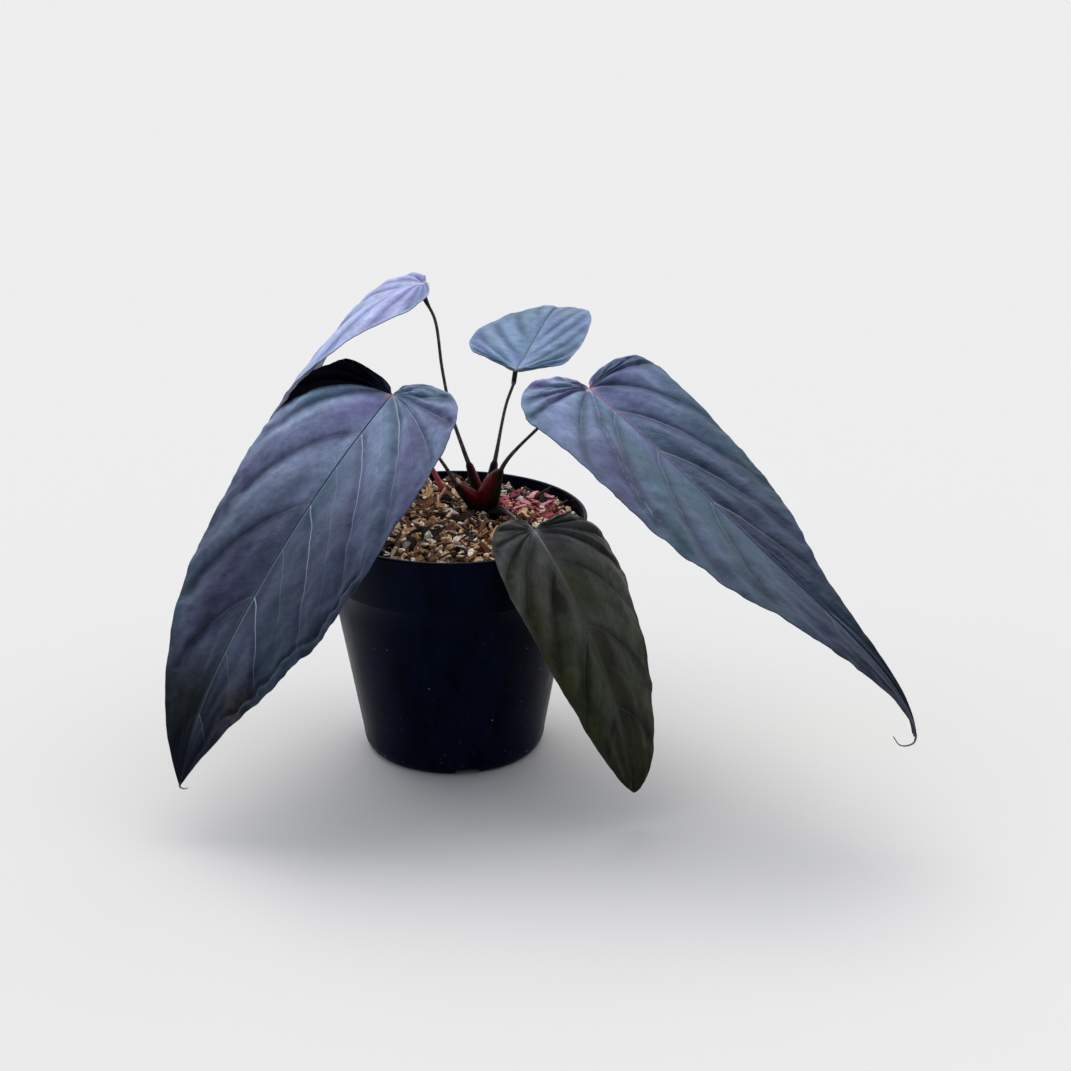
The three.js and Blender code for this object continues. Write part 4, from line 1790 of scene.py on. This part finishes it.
@dataclass(frozen=True)
class ChipPlan:
    """How many pieces of a kind lie on the mix, how large they are and how they lie."""

    kind: ChipKind
    count: int
    size: Place
    vary: float
    tilt: float
    lift: tuple[float, float]
    tones: Stops
    roughness: float
    reach: float = 1.0
    centre: tuple[float, float] = (0.0, 0.0)

    def material(self) -> bpy.types.Material:
        """Makes the material.

        Returns:
            The kind's material, with its own shade on each piece and a fine grain.
        """
        material, tree = new_material(self.kind.value)
        shade = add_node(tree, "ShaderNodeAttribute", attribute_name="shade").outputs["Fac"]
        place = add_node(tree, "ShaderNodeTexCoord").outputs["Object"]
        # Grain and specks of about 1 mm
        grain = add_node(
            tree, "ShaderNodeTexNoise", {"Vector": place, "Scale": 1000.0, "Detail": 3.0}
        ).outputs["Fac"]
        own_tone, grain_tone = (
            add_node(tree, "ShaderNodeValToRGB", {0: value}, stops).outputs["Color"]
            for value, stops in ((shade, self.tones), (grain, ((0.3, "#80776f"), (0.6, "#ffffff"))))
        )
        colour = add_node(
            tree,
            "ShaderNodeMix",
            {0: 0.85, 6: own_tone, 7: grain_tone},
            data_type="RGBA",
            blend_type="MULTIPLY",
        ).outputs[2]
        bump = add_node(
            tree, "ShaderNodeBump", {"Strength": 0.5, "Distance": 0.0004, "Height": grain}
        ).outputs["Normal"]
        skin = add_node(
            tree,
            "ShaderNodeBsdfPrincipled",
            {
                "Base Color": colour,
                "Roughness": self.roughness,
                "Specular IOR Level": 0.3,
                "Normal": bump,
            },
        )
        add_node(tree, "ShaderNodeOutputMaterial", {"Surface": skin.outputs["BSDF"]})
        return material


CHIP_PLANS = (
    ChipPlan(
        kind=ChipKind.BARK,
        count=230,
        size=(8.0, 5.4, 3.6),
        vary=0.45,
        tilt=55,
        lift=(-1.6, 2.0),
        tones=((0.0, "#080402"), (0.5, "#26130a"), (0.85, "#6e3c24"), (1.0, "#a2643f")),
        roughness=0.85,
    ),
    ChipPlan(
        kind=ChipKind.SHAVING,
        count=330,
        size=(8.5, 2.8, 1.4),
        vary=0.45,
        tilt=55,
        lift=(-0.8, 3.0),
        tones=((0.0, "#1a0d07"), (0.4, "#74492c"), (0.7, "#d0a676"), (1.0, "#fae6c8")),
        roughness=0.75,
    ),
    ChipPlan(
        kind=ChipKind.HULL,
        count=950,
        size=(5.6, 2.9, 2.2),
        vary=0.35,
        tilt=70,
        lift=(-0.8, 3.2),
        tones=((0.0, "#24130b"), (0.3, "#7f5638"), (0.6, "#dcbb90"), (1.0, "#fff4e2")),
        roughness=0.6,
    ),
    ChipPlan(
        kind=ChipKind.PERLITE,
        count=230,
        size=(4.4, 3.8, 3.0),
        vary=0.45,
        tilt=90,
        lift=(0.2, 2.6),
        tones=((0.0, "#c9bfb2"), (0.5, "#ece5dc"), (1.0, "#ffffff")),
        roughness=0.9,
    ),
    ChipPlan(
        kind=ChipKind.FIBRE,
        count=320,
        size=(16.0, 0.8, 0.6),
        vary=0.45,
        tilt=26,
        lift=(0.8, 3.4),
        tones=((0.0, "#0d0604"), (0.5, "#2b1710"), (0.8, "#7b4a33"), (1.0, "#c99a78")),
        roughness=0.8,
    ),
    ChipPlan(
        kind=ChipKind.SHRED,
        count=64,
        size=(6.5, 2.4, 0.6),
        vary=0.4,
        tilt=30,
        lift=(2.0, 3.6),
        tones=((0.0, "#8c1d36"), (0.45, "#d0506c"), (1.0, "#f6b9c4")),
        roughness=0.7,
        reach=0.27,
        centre=(33.0, 20.0),
    ),
)


@dataclass
class PottingMix:
    """Chunky mix that fills the pot: a dark bed with loose pieces on it."""

    pot: Pot
    height: float = 103
    slope_x: float = -0.035
    slope_y: float = 0.004
    gap: float = 0.3
    rings: int = 22
    sides: int = 120
    seed: int = 41

    def top(self, x: float, y: float) -> float:
        """Gives the height of the gently uneven top.

        Args:
            x: Place along X in millimetres.
            y: Place along Y.

        Returns:
            The height in millimetres.
        """
        slope = self.slope_x * x + self.slope_y * y
        waves = 0.7 * math.sin(x / 9 + 1) * math.cos(y / 11) + 0.4 * math.sin(y / 6 + x / 13)
        return self.height + slope + waves

    def edge_radius(self) -> float:
        """Gives the radius of the mix where it meets the pot's wall.

        Returns:
            The radius in millimetres.
        """
        inner = self.pot.inner_profile()
        (upper_radius, upper), (lower_radius, lower) = inner[1], inner[2]
        share = (self.height - lower) / (upper - lower)
        return lower_radius + (upper_radius - lower_radius) * share - self.gap

    def build_bed(self) -> bpy.types.Object:
        """Draws the bed: a disc cut into rings, shaped to the top and drawn down to the floor.

        Returns:
            The closed bed.
        """
        edge = self.edge_radius()
        deselect_all()
        bpy.ops.mesh.primitive_circle_add(
            vertices=self.sides, radius=edge * MM, fill_type="NGON", location=(0, 0, self.height * MM)
        )
        bed = rename_active("mix_bed")
        settle(bed)
        bpy.ops.object.mode_set(mode="EDIT")
        bpy.ops.mesh.select_mode(type="FACE")
        bpy.ops.mesh.select_all(action="SELECT")
        for _ in range(self.rings - 1):
            bpy.ops.mesh.inset(thickness=edge / self.rings * MM)
        bpy.ops.mesh.poke()
        bpy.ops.object.mode_set(mode="OBJECT")
        for vertex in bed.data.vertices:
            x, y, _ = vertex.co / MM
            inside = min(1.0, (edge - math.hypot(x, y)) / 3)
            rough = 1.1 * noise.noise(Vector((x / 3.5, y / 3.5, 0))) - 0.4
            vertex.co.z = (self.height + inside * (self.top(x, y) - self.height + rough)) * MM
            vertex.select = math.hypot(x, y) > edge - 0.05
        for line in bed.data.edges:
            line.select = all(bed.data.vertices[k].select for k in line.vertices)
        for face in bed.data.polygons:
            face.select = False
        bpy.ops.object.mode_set(mode="EDIT")
        bpy.ops.mesh.select_mode(type="EDGE")
        wall = self.pot.inner_profile()[2:]
        draw_rings([(edge, self.height), *((r - self.gap, h + self.gap) for r, h in wall)])
        bpy.ops.mesh.edge_face_add()
        bpy.ops.object.mode_set(mode="OBJECT")
        close_shell(bed, crease=60)
        bed.data.materials.append(DampBark().material())
        return bed

    def chip_model(self, plan: ChipPlan) -> bpy.types.Object:
        """Models one piece of a kind, at the size of the plan.

        Args:
            plan: The kind's plan.

        Returns:
            The model, round the origin.
        """
        deselect_all()
        if plan.kind in (ChipKind.BARK, ChipKind.PERLITE):
            bpy.ops.mesh.primitive_ico_sphere_add(subdivisions=2, radius=0.5)
        elif plan.kind is ChipKind.HULL:
            bpy.ops.mesh.primitive_uv_sphere_add(segments=10, ring_count=6, radius=0.5)
        else:
            bpy.ops.mesh.primitive_cube_add(size=1)
        model = rename_active(f"model_{plan.kind.value}")
        if plan.kind in (ChipKind.SHAVING, ChipKind.FIBRE, ChipKind.SHRED):
            bpy.ops.object.mode_set(mode="EDIT")
            bpy.ops.mesh.select_all(action="SELECT")
            bpy.ops.mesh.subdivide(number_cuts=3)
            bpy.ops.object.mode_set(mode="OBJECT")
        for vertex in model.data.vertices:
            self.shape_chip_point(plan.kind, vertex)
        model.scale = plan.size
        settle(model)
        return model

    @staticmethod
    def shape_chip_point(kind: ChipKind, vertex: bpy.types.MeshVertex) -> None:
        """Moves one point of a chip's model of unit size to the kind's shape.

        Args:
            kind: Kind of the chip.
            vertex: The point.
        """
        x, y, z = vertex.co
        if kind is ChipKind.HULL:
            narrow = math.sqrt(max(0.0, 1 - (2 * x) ** 2)) if abs(x) < 0.5 else 0.0
            cup = 0.55 * narrow if z > 0.02 else 0.0
            vertex.co = (x, y * (0.55 + 0.45 * narrow), z - cup * (0.5 - abs(y)))
        elif kind is ChipKind.BARK:
            vertex.co += Vector(vertex.co) * 0.5 * noise.noise(vertex.co * 3.1)
            vertex.co.z = max(-0.3, min(0.3, vertex.co.z))
        elif kind is ChipKind.PERLITE:
            vertex.co += Vector(vertex.co) * 0.42 * noise.noise(vertex.co * 4.2 + Vector((7, 3, 1)))
        else:
            curl = 1.6 if kind is ChipKind.SHAVING else 2.4
            taper = 1 - 0.45 * (x + 0.5)
            side = 0.18 * math.sin(3.1 * x) if kind is ChipKind.FIBRE else 0.0
            vertex.co = (x, y * taper + 4 * side, z * taper + curl * (0.25 - x * x) * 1.1)

    def scatter(self, plan: ChipPlan) -> bpy.types.Object:
        """Copies a kind's model over the mix, each copy turned, tipped and sized at random.

        Args:
            plan: The kind's plan.

        Returns:
            One piece with all copies, each with its own shade written on it.
        """
        chooser = random.Random(self.seed + plan.count)
        model = self.chip_model(plan)
        shape = np.array([v.co for v in model.data.vertices])
        corners = [tuple(face.vertices) for face in model.data.polygons]
        bpy.data.objects.remove(model)
        limit = self.edge_radius() - 0.24 * plan.size[0]
        points, faces, shades = [], [], []
        for i in range(plan.count):
            radius = limit * plan.reach * math.sqrt((i + 0.5) / plan.count)
            angle = i * math.pi * (3 - math.sqrt(5)) + chooser.uniform(-0.5, 0.5)
            x = plan.centre[0] + radius * math.cos(angle) + chooser.uniform(-1.5, 1.5)
            y = plan.centre[1] + radius * math.sin(angle) + chooser.uniform(-1.5, 1.5)
            size = 1 + chooser.uniform(-plan.vary, plan.vary)
            roll = math.radians(chooser.uniform(-plan.tilt, plan.tilt))
            pitch = math.radians(chooser.uniform(-plan.tilt, plan.tilt))
            yaw = chooser.uniform(0, 2 * math.pi)
            turn = np.array(Euler((roll, pitch, yaw)).to_matrix())
            copy = shape * size @ turn.T
            lift = chooser.uniform(*plan.lift)
            place = np.array((x, y, self.top(x, y) + lift))
            copy = self.keep_inside(copy + place)
            faces.extend(tuple(k + len(shape) * i for k in face) for face in corners)
            points.append(copy)
            shades.append(np.full(len(shape), chooser.random()))
        piece = mesh_piece(f"mix_{plan.kind.value}", np.vstack(points), faces)
        write_attribute(piece, "shade", np.concatenate(shades))
        crease = 80 if plan.kind is ChipKind.HULL else 30
        make_active(piece)
        bpy.ops.object.shade_smooth_by_angle(angle=math.radians(crease))
        return piece

    def keep_inside(self, points: np.ndarray) -> np.ndarray:
        """Draws a chip in so that no point of it goes through the pot's wall.

        Args:
            points: The chip's points in millimetres.

        Returns:
            The points, moved inwards where need be.
        """
        room = self.edge_radius() - 0.2
        reach = np.hypot(points[:, 0], points[:, 1])
        worst = reach.argmax()
        if reach[worst] <= room:
            return points
        shift = points[worst, :2] * (1 - room / reach[worst])
        return points - np.array((shift[0], shift[1], 0))

    def make(self) -> None:
        """Builds the bed and the loose pieces, dresses them and hands them over."""
        take(self.build_bed(), "potting_mix", "potting_mix")
        for plan in CHIP_PLANS:
            piece = self.scatter(plan)
            piece.data.materials.append(plan.material())
            take(piece, "potting_mix")


@dataclass(frozen=True)
class DampBark:
    """Damp composted bark and husk: its own dark tone, deepened to near black
    as painted shade for the gaps between the pieces that lie on it.
    """

    tones: Stops = ((0.35, "#080403"), (0.6, "#1c0f0a"), (0.8, "#38210f"))

    def material(self) -> bpy.types.Material:
        """Makes the material.

        Returns:
            The crumbly bark.
        """
        material, tree = new_material("damp_composted_bark")
        place = add_node(tree, "ShaderNodeTexCoord").outputs["Object"]
        # Crumbs of about 3 mm
        crumbs = add_node(
            tree, "ShaderNodeTexVoronoi", {"Vector": place, "Scale": 330.0}
        ).outputs["Distance"]
        fine = add_node(
            tree, "ShaderNodeTexNoise", {"Vector": place, "Scale": 800.0, "Detail": 4.0}
        ).outputs["Fac"]
        colour = add_node(tree, "ShaderNodeValToRGB", {0: fine}, self.tones).outputs["Color"]
        bump = add_node(
            tree, "ShaderNodeBump", {"Strength": 0.9, "Distance": 0.001, "Height": crumbs}
        ).outputs["Normal"]
        skin = add_node(
            tree, "ShaderNodeBsdfPrincipled", {"Base Color": colour, "Roughness": 0.92, "Normal": bump}
        )
        add_node(tree, "ShaderNodeOutputMaterial", {"Surface": skin.outputs["BSDF"]})
        return material


# The five leaves

SLATE_VELVET = VelvetFinish(
    name="slate_velvet_front_left",
    upper=(
        (0.0, "#b0c4e2"),
        (0.22, "#8999b0"),
        (0.42, "#586474"),
        (0.68, "#525b68"),
        (0.8, "#24271f"),
        (1.0, "#080906"),
    ),
    mottle=((0.2, "#b9a9c6"), (0.5, "#e8e8f2"), (0.8, "#a9c6c4")),
    valley="#5c5870",
    under="#3b4046",
    vein="#a3b0c4",
    rib=((0.0, "#3a2a30"), (0.08, "#18251f"), (0.6, "#2a3a38"), (0.8, "#2c343a"), (1.0, "#10110d")),
    sheen="#a9bdf0",
    sheen_weight=0.22,
    gloss=0.26,
    stain="#3a2f18",
    node="#9c6a70",
)

BLUE_VELVET = VelvetFinish(
    name="blue_velvet_front_right",
    upper=(
        (0.0, "#9cabd0"),
        (0.2, "#6d7b95"),
        (0.55, "#4a5c6a"),
        (0.75, "#35454f"),
        (0.88, "#10171e"),
        (1.0, "#05080b"),
    ),
    mottle=((0.2, "#bba9cc"), (0.5, "#e6e8f2"), (0.8, "#a6cac2")),
    valley="#5a6878",
    under="#42484e",
    vein="#a2b0c4",
    rib=((0.0, "#8a5a68"), (0.12, "#5a4655"), (0.35, "#303a48"), (0.8, "#2c3740"), (1.0, "#141a20")),
    sheen="#a9bdf2",
    sheen_weight=0.2,
    gloss=0.26,
    stain="#59624f",
    node="#b98592",
)

OLIVE_VELVET = VelvetFinish(
    name="olive_velvet_low_front",
    upper=((0.0, "#8c8f9e"), (0.2, "#74776f"), (0.6, "#4d513f"), (0.85, "#3c3f2a"), (1.0, "#26281b")),
    mottle=((0.2, "#c0b8b4"), (0.5, "#e6e6e2"), (0.8, "#b6bd96")),
    valley="#6f7264",
    under="#3d3f35",
    vein="#7a8478",
    rib=((0.0, "#a3aaa4"), (0.12, "#656b60"), (0.35, "#3f4336"), (1.0, "#23251a")),
    sheen="#b4bdb8",
    sheen_weight=0.12,
    gloss=0.2,
    stain="#2c3010",
    node="#aab2ae",
)

# Pale tones that paint the sheen this blade shows at a grazing angle, on top of the shader's own sheen
STEEL_VELVET_PAINTED_SHEEN = VelvetFinish(
    name="steel_velvet_painted_sheen_back_right",
    upper=((0.0, "#92accf"), (0.4, "#869fbc"), (1.0, "#7691a9")),
    mottle=((0.2, "#c9c6ea"), (0.5, "#f0f4fa"), (0.8, "#b8d2d2")),
    valley="#5f7f8c",
    under="#6c7f8f",
    vein="#4d6a7c",
    rib=((0.0, "#44586a"), (1.0, "#3c5364")),
    sheen="#b4c8f2",
    sheen_weight=0.3,
    gloss=0.25,
    stain="#59624f",
    node="#aaa0b0",
)

# Pale tones that paint the sheen this blade shows at a grazing angle, on top of the shader's own sheen
LILAC_VELVET_PAINTED_SHEEN = VelvetFinish(
    name="lilac_velvet_painted_sheen_back_left",
    upper=((0.0, "#cbd3f2"), (0.4, "#c4cff0"), (1.0, "#aab6d4")),
    mottle=((0.2, "#dcd2f0"), (0.5, "#f2f4fc"), (0.8, "#d2e4ee")),
    valley="#8e8fb4",
    under="#5a6272",
    vein="#7c82a6",
    rib=((0.0, "#8d84a6"), (0.3, "#7a80a0"), (1.0, "#6a7590")),
    sheen="#c9d4f6",
    sheen_weight=0.35,
    gloss=0.25,
    stain="#7c7f92",
    node="#c4aebc",
)

LEAVES = (
    Leaf(
        name="front_left",
        base=(-23.7, -30.6, 174.7),
        length=189,
        heading=(-144, -142.5, -128.5),
        dip=(40, 51, 50),
        roll=(-8, -12, -27),
        tip_turn=8.5,
        tip_drop=25,
        droop=14,
        fold=13,
        left=Half(62, 10, 38.5, 0.54, 0.46, 0.38, 4),
        right=Half(50, 4.3, 25.5, 0.41, 0.36, 0.24, 24),
        wave=0.4,
        stalk=(
            (12, 16, 104),
            (8, 12.5, 111),
            (3.5, 6.5, 118.5),
            (-2.2, -2, 131.5),
            (-7.5, -10, 143),
            (-15, -20, 159.5),
        ),
        finish=SLATE_VELVET,
        wing=2.5,
        tip_thread=((-109.2, -102.9, 25.2), (-107.5, -102.7, 25.6)),
        quilt=1.7,
        pale_left=0.5,
        pale_right=0.08,
        crinkle_left=0.45,
        crinkle_right=0.5,
        dusk_left=0.74,
        columns=64,
        painted_shade_row=10.5,
        flange_rows=(11.5, 18.4),
        stains=(Blotch(19.5, 150, 12, 0.55),),
    ),
    Leaf(
        name="front_right",
        base=(60.4, -4.5, 169.4),
        length=216,
        heading=(-35.5, -49, -19),
        dip=(29, 23, 29),
        roll=(5, -2, 32),
        tip_turn=21,
        tip_drop=53.5,
        droop=11.5,
        fold=15,
        left=Half(36.5, 4.4, 9, 0.59, 0.16, 0.56, 11),
        right=Half(54.5, 11.5, 14.3, 0.72, 0.64, 0.59, 15),
        wave=2.1,
        stalk=((16, 15, 104), (18.5, 13.5, 113), (22.6, 11, 128), (37.9, 5, 147.5), (50, 0, 161)),
        finish=BLUE_VELVET,
        wing=-5,
        blush_angle=math.pi,
        tip_thread=((190.3, -120, 54.4), (187.5, -120, 53.1), (184.6, -120, 53.5), (181.8, -120, 57.4)),
        quilt=1.5,
        pale_left=0.22,
        pale_right=0.22,
        crinkle_left=0.3,
        crinkle_right=0.3,
        dusk_left=0.45,
        strong_vein=(
            (0, 0),
            (20.3, 20.8),
            (30.3, 39.7),
            (38.5, 57.8),
            (43.4, 75.7),
            (43.8, 94.5),
            (43.4, 108.1),
        ),
    ),
    Leaf(
        name="low_front",
        base=(36.7, -45, 119),
        length=122,
        heading=(-44.5, -39, -47.5),
        dip=(41.5, 62.5, 73),
        roll=(1, 3, 3.5),
        tip_turn=-12,
        tip_drop=7,
        droop=9.5,
        fold=7.5,
        left=Half(34, 1.8, 24.3, 0.19, 0.42, 0.01, 16.5),
        right=Half(29.3, 7.4, 29.3, 0.47, 0.47, 0.13, 31.5),
        wave=1.3,
        stalk=((17, 13, 103), (20, 6, 108.5), (25, -8, 112.5), (29.5, -25, 114.5), (32.5, -37, 113.5)),
        finish=OLIVE_VELVET,
        quilt=1.3,
        pale_left=0.12,
        pale_right=0.16,
        crinkle_left=0.4,
        crinkle_right=0.6,
        dusk_right=0.3,
        stains=(
            Blotch(-24.0, 35.2, 5, 0.8),
            Blotch(-25.2, 51.4, 6, 0.9),
            Blotch(-22.5, 66, 5, 0.8),
            Blotch(-16, 88, 5, 0.6),
        ),
        shades=(Blotch(-9.2, 33.5, 7, 0.75), Blotch(-6.5, 22, 5, 0.5)),
    ),
    Leaf(
        name="back_right",
        base=(27.9, 41, 164),
        length=100,
        heading=(76.5, 75.5, 84),
        dip=(-1, -8, 39.5),
        roll=(8.5, -0.5, 17.5),
        tip_turn=4.5,
        tip_drop=-6.5,
        droop=9,
        fold=11,
        left=Half(26.5, 0.6, 21.5, 0.34, 0.04, 0.52, 1),
        right=Half(24.5, -4, 35, 0.57, 0.31, 0.43, 11),
        wave=0.9,
        stalk=((15, 19, 104), (16.5, 20, 115), (19.3, 23, 129), (23.7, 32, 149.5), (27, 38, 157.5)),
        finish=STEEL_VELVET_PAINTED_SHEEN,
        quilt=0.8,
        ripple=0.25,
        crinkle_left=0.05,
        crinkle_right=0.05,
        pale_left=0.2,
        pale_right=0.2,
    ),
    Leaf(
        name="back_left",
        base=(-12, 30, 207),
        length=142,
        heading=(184, 150, 128),
        dip=(9, 56, 39),
        roll=(6, -8, 10),
        tip_turn=0,
        tip_drop=0,
        droop=60,
        fold=4.5,
        left=Half(29, 2, 12, 0.35, 0.3, 0.3, 30),
        right=Half(25, 1, 18, 0.45, 0.3, 0.3, 6),
        wave=1.7,
        stalk=(
            (12.5, 18.5, 104),
            (9.5, 18.5, 119),
            (5, 20, 132),
            (-0.5, 24, 148),
            (-4.5, 27, 168),
            (-7.5, 29.5, 190),
        ),
        finish=LILAC_VELVET_PAINTED_SHEEN,
        quilt=0.7,
        ripple=0.2,
        crinkle_left=0.05,
        crinkle_right=0.05,
        pale_left=0.1,
        pale_right=0.1,
    ),
)


# Stage


@dataclass(frozen=True)
class SoftLamp:
    """One large soft lamp, far off: where it stands, its strength, spread in degrees and colour."""

    name: str
    stands: Place
    strength: float
    spread: float
    colour: str


@dataclass
class Studio:
    """Pale floor, soft lamps and the camera at the photograph's angle."""

    target: Place = (0.037, 0.0, 0.0991)
    distance: float = 1.1
    elevation: float = 20.6
    lens: float = 83.2
    lamps: Sequence[SoftLamp] = (
        SoftLamp("lamp_top_back", (-0.15, 0.38, 1.0), 1.8, 50, "#fffdf8"),
        SoftLamp("lamp_left", (-1.0, -0.12, 0.35), 0.6, 40, "#9db4f4"),
        SoftLamp("lamp_right", (1.0, -0.05, 0.3), 0.3, 40, "#9db4f4"),
    )

    def make_camera(self) -> None:
        """Puts the camera where the photograph was taken from."""
        tilt = math.radians(self.elevation)
        x, y, z = self.target
        bpy.ops.object.camera_add(
            location=(x, y - self.distance * math.cos(tilt), z + self.distance * math.sin(tilt)),
            rotation=(math.pi / 2 - tilt, 0, 0),
        )
        camera = bpy.context.active_object
        camera.name = "camera"
        camera.data.lens = self.lens
        camera.data.sensor_width = 36
        camera.data.clip_start = 0.05
        camera.data.clip_end = 60
        bpy.context.scene.camera = camera

    def make_lamps(self) -> None:
        """Hangs the soft lamps, each turned towards the plant."""
        for lamp in self.lamps:
            bpy.ops.object.light_add(type="SUN", location=lamp.stands)
            light = bpy.context.active_object
            light.name = lamp.name
            light.data.energy = lamp.strength
            light.data.angle = math.radians(lamp.spread)
            light.data.color = linear(lamp.colour)[:3]
            light.rotation_euler = (-Vector(lamp.stands)).to_track_quat("-Z", "Y").to_euler()

    def make_world(self) -> None:
        """Lights the room from above and behind, and little from the front and the sides."""
        world = bpy.data.worlds.new("studio")
        world.use_nodes = True
        tree = world.node_tree
        tree.nodes.clear()
        direction = add_node(tree, "ShaderNodeTexCoord").outputs["Generated"]
        _, depth, height = add_node(tree, "ShaderNodeSeparateXYZ", {0: direction}).outputs
        behind, above = (
            add_node(
                tree,
                "ShaderNodeMapRange",
                {"Value": value, "From Min": start, "From Max": end, "To Min": first, "To Max": last},
            ).outputs["Result"]
            for value, start, end, first, last in (
                (depth, -0.7, 0.4, 0.4, 1.35),
                (height, 0.0, 0.8, 0.7, 1.4),
            )
        )
        bright = add_node(
            tree, "ShaderNodeMath", {0: behind, 1: above}, operation="MULTIPLY"
        ).outputs[0]
        sky = add_node(tree, "ShaderNodeBackground", {"Color": linear("#f6f6f6"), "Strength": bright})
        add_node(tree, "ShaderNodeOutputWorld", {"Surface": sky.outputs[0]})
        bpy.context.scene.world = world

    def make_floor(self) -> None:
        """Lays the plain pale floor."""
        deselect_all()
        bpy.ops.mesh.primitive_plane_add(size=30, location=(0, 6, 0))
        floor = rename_active("floor")
        settle(floor)
        material, tree = new_material("pale_paper_floor")
        skin = add_node(
            tree,
            "ShaderNodeBsdfPrincipled",
            {"Base Color": linear("#bdbdbd"), "Roughness": 1.0, "Specular IOR Level": 0.0},
        )
        add_node(tree, "ShaderNodeOutputMaterial", {"Surface": skin.outputs["BSDF"]})
        floor.data.materials.append(material)

    def make(self) -> None:
        """Sets up the whole studio."""
        self.make_camera()
        self.make_lamps()
        self.make_world()
        self.make_floor()
        bpy.context.scene.view_settings.view_transform = "Standard"
        bpy.context.scene.view_settings.look = "None"


def main() -> None:
    """Builds every piece in order."""
    logging.basicConfig(level=logging.INFO, format="%(name)s %(message)s", stream=sys.stdout)
    Studio().make()
    pot = Pot()
    pot.make()
    PottingMix(pot).make()
    crown = Crown()
    crown.make(LEAVES)
    Shoot().make()
    skin = StalkSkin().material()
    for leaf in LEAVES:
        leaf.make(crown, skin)


if __name__ == "__main__":
    main()
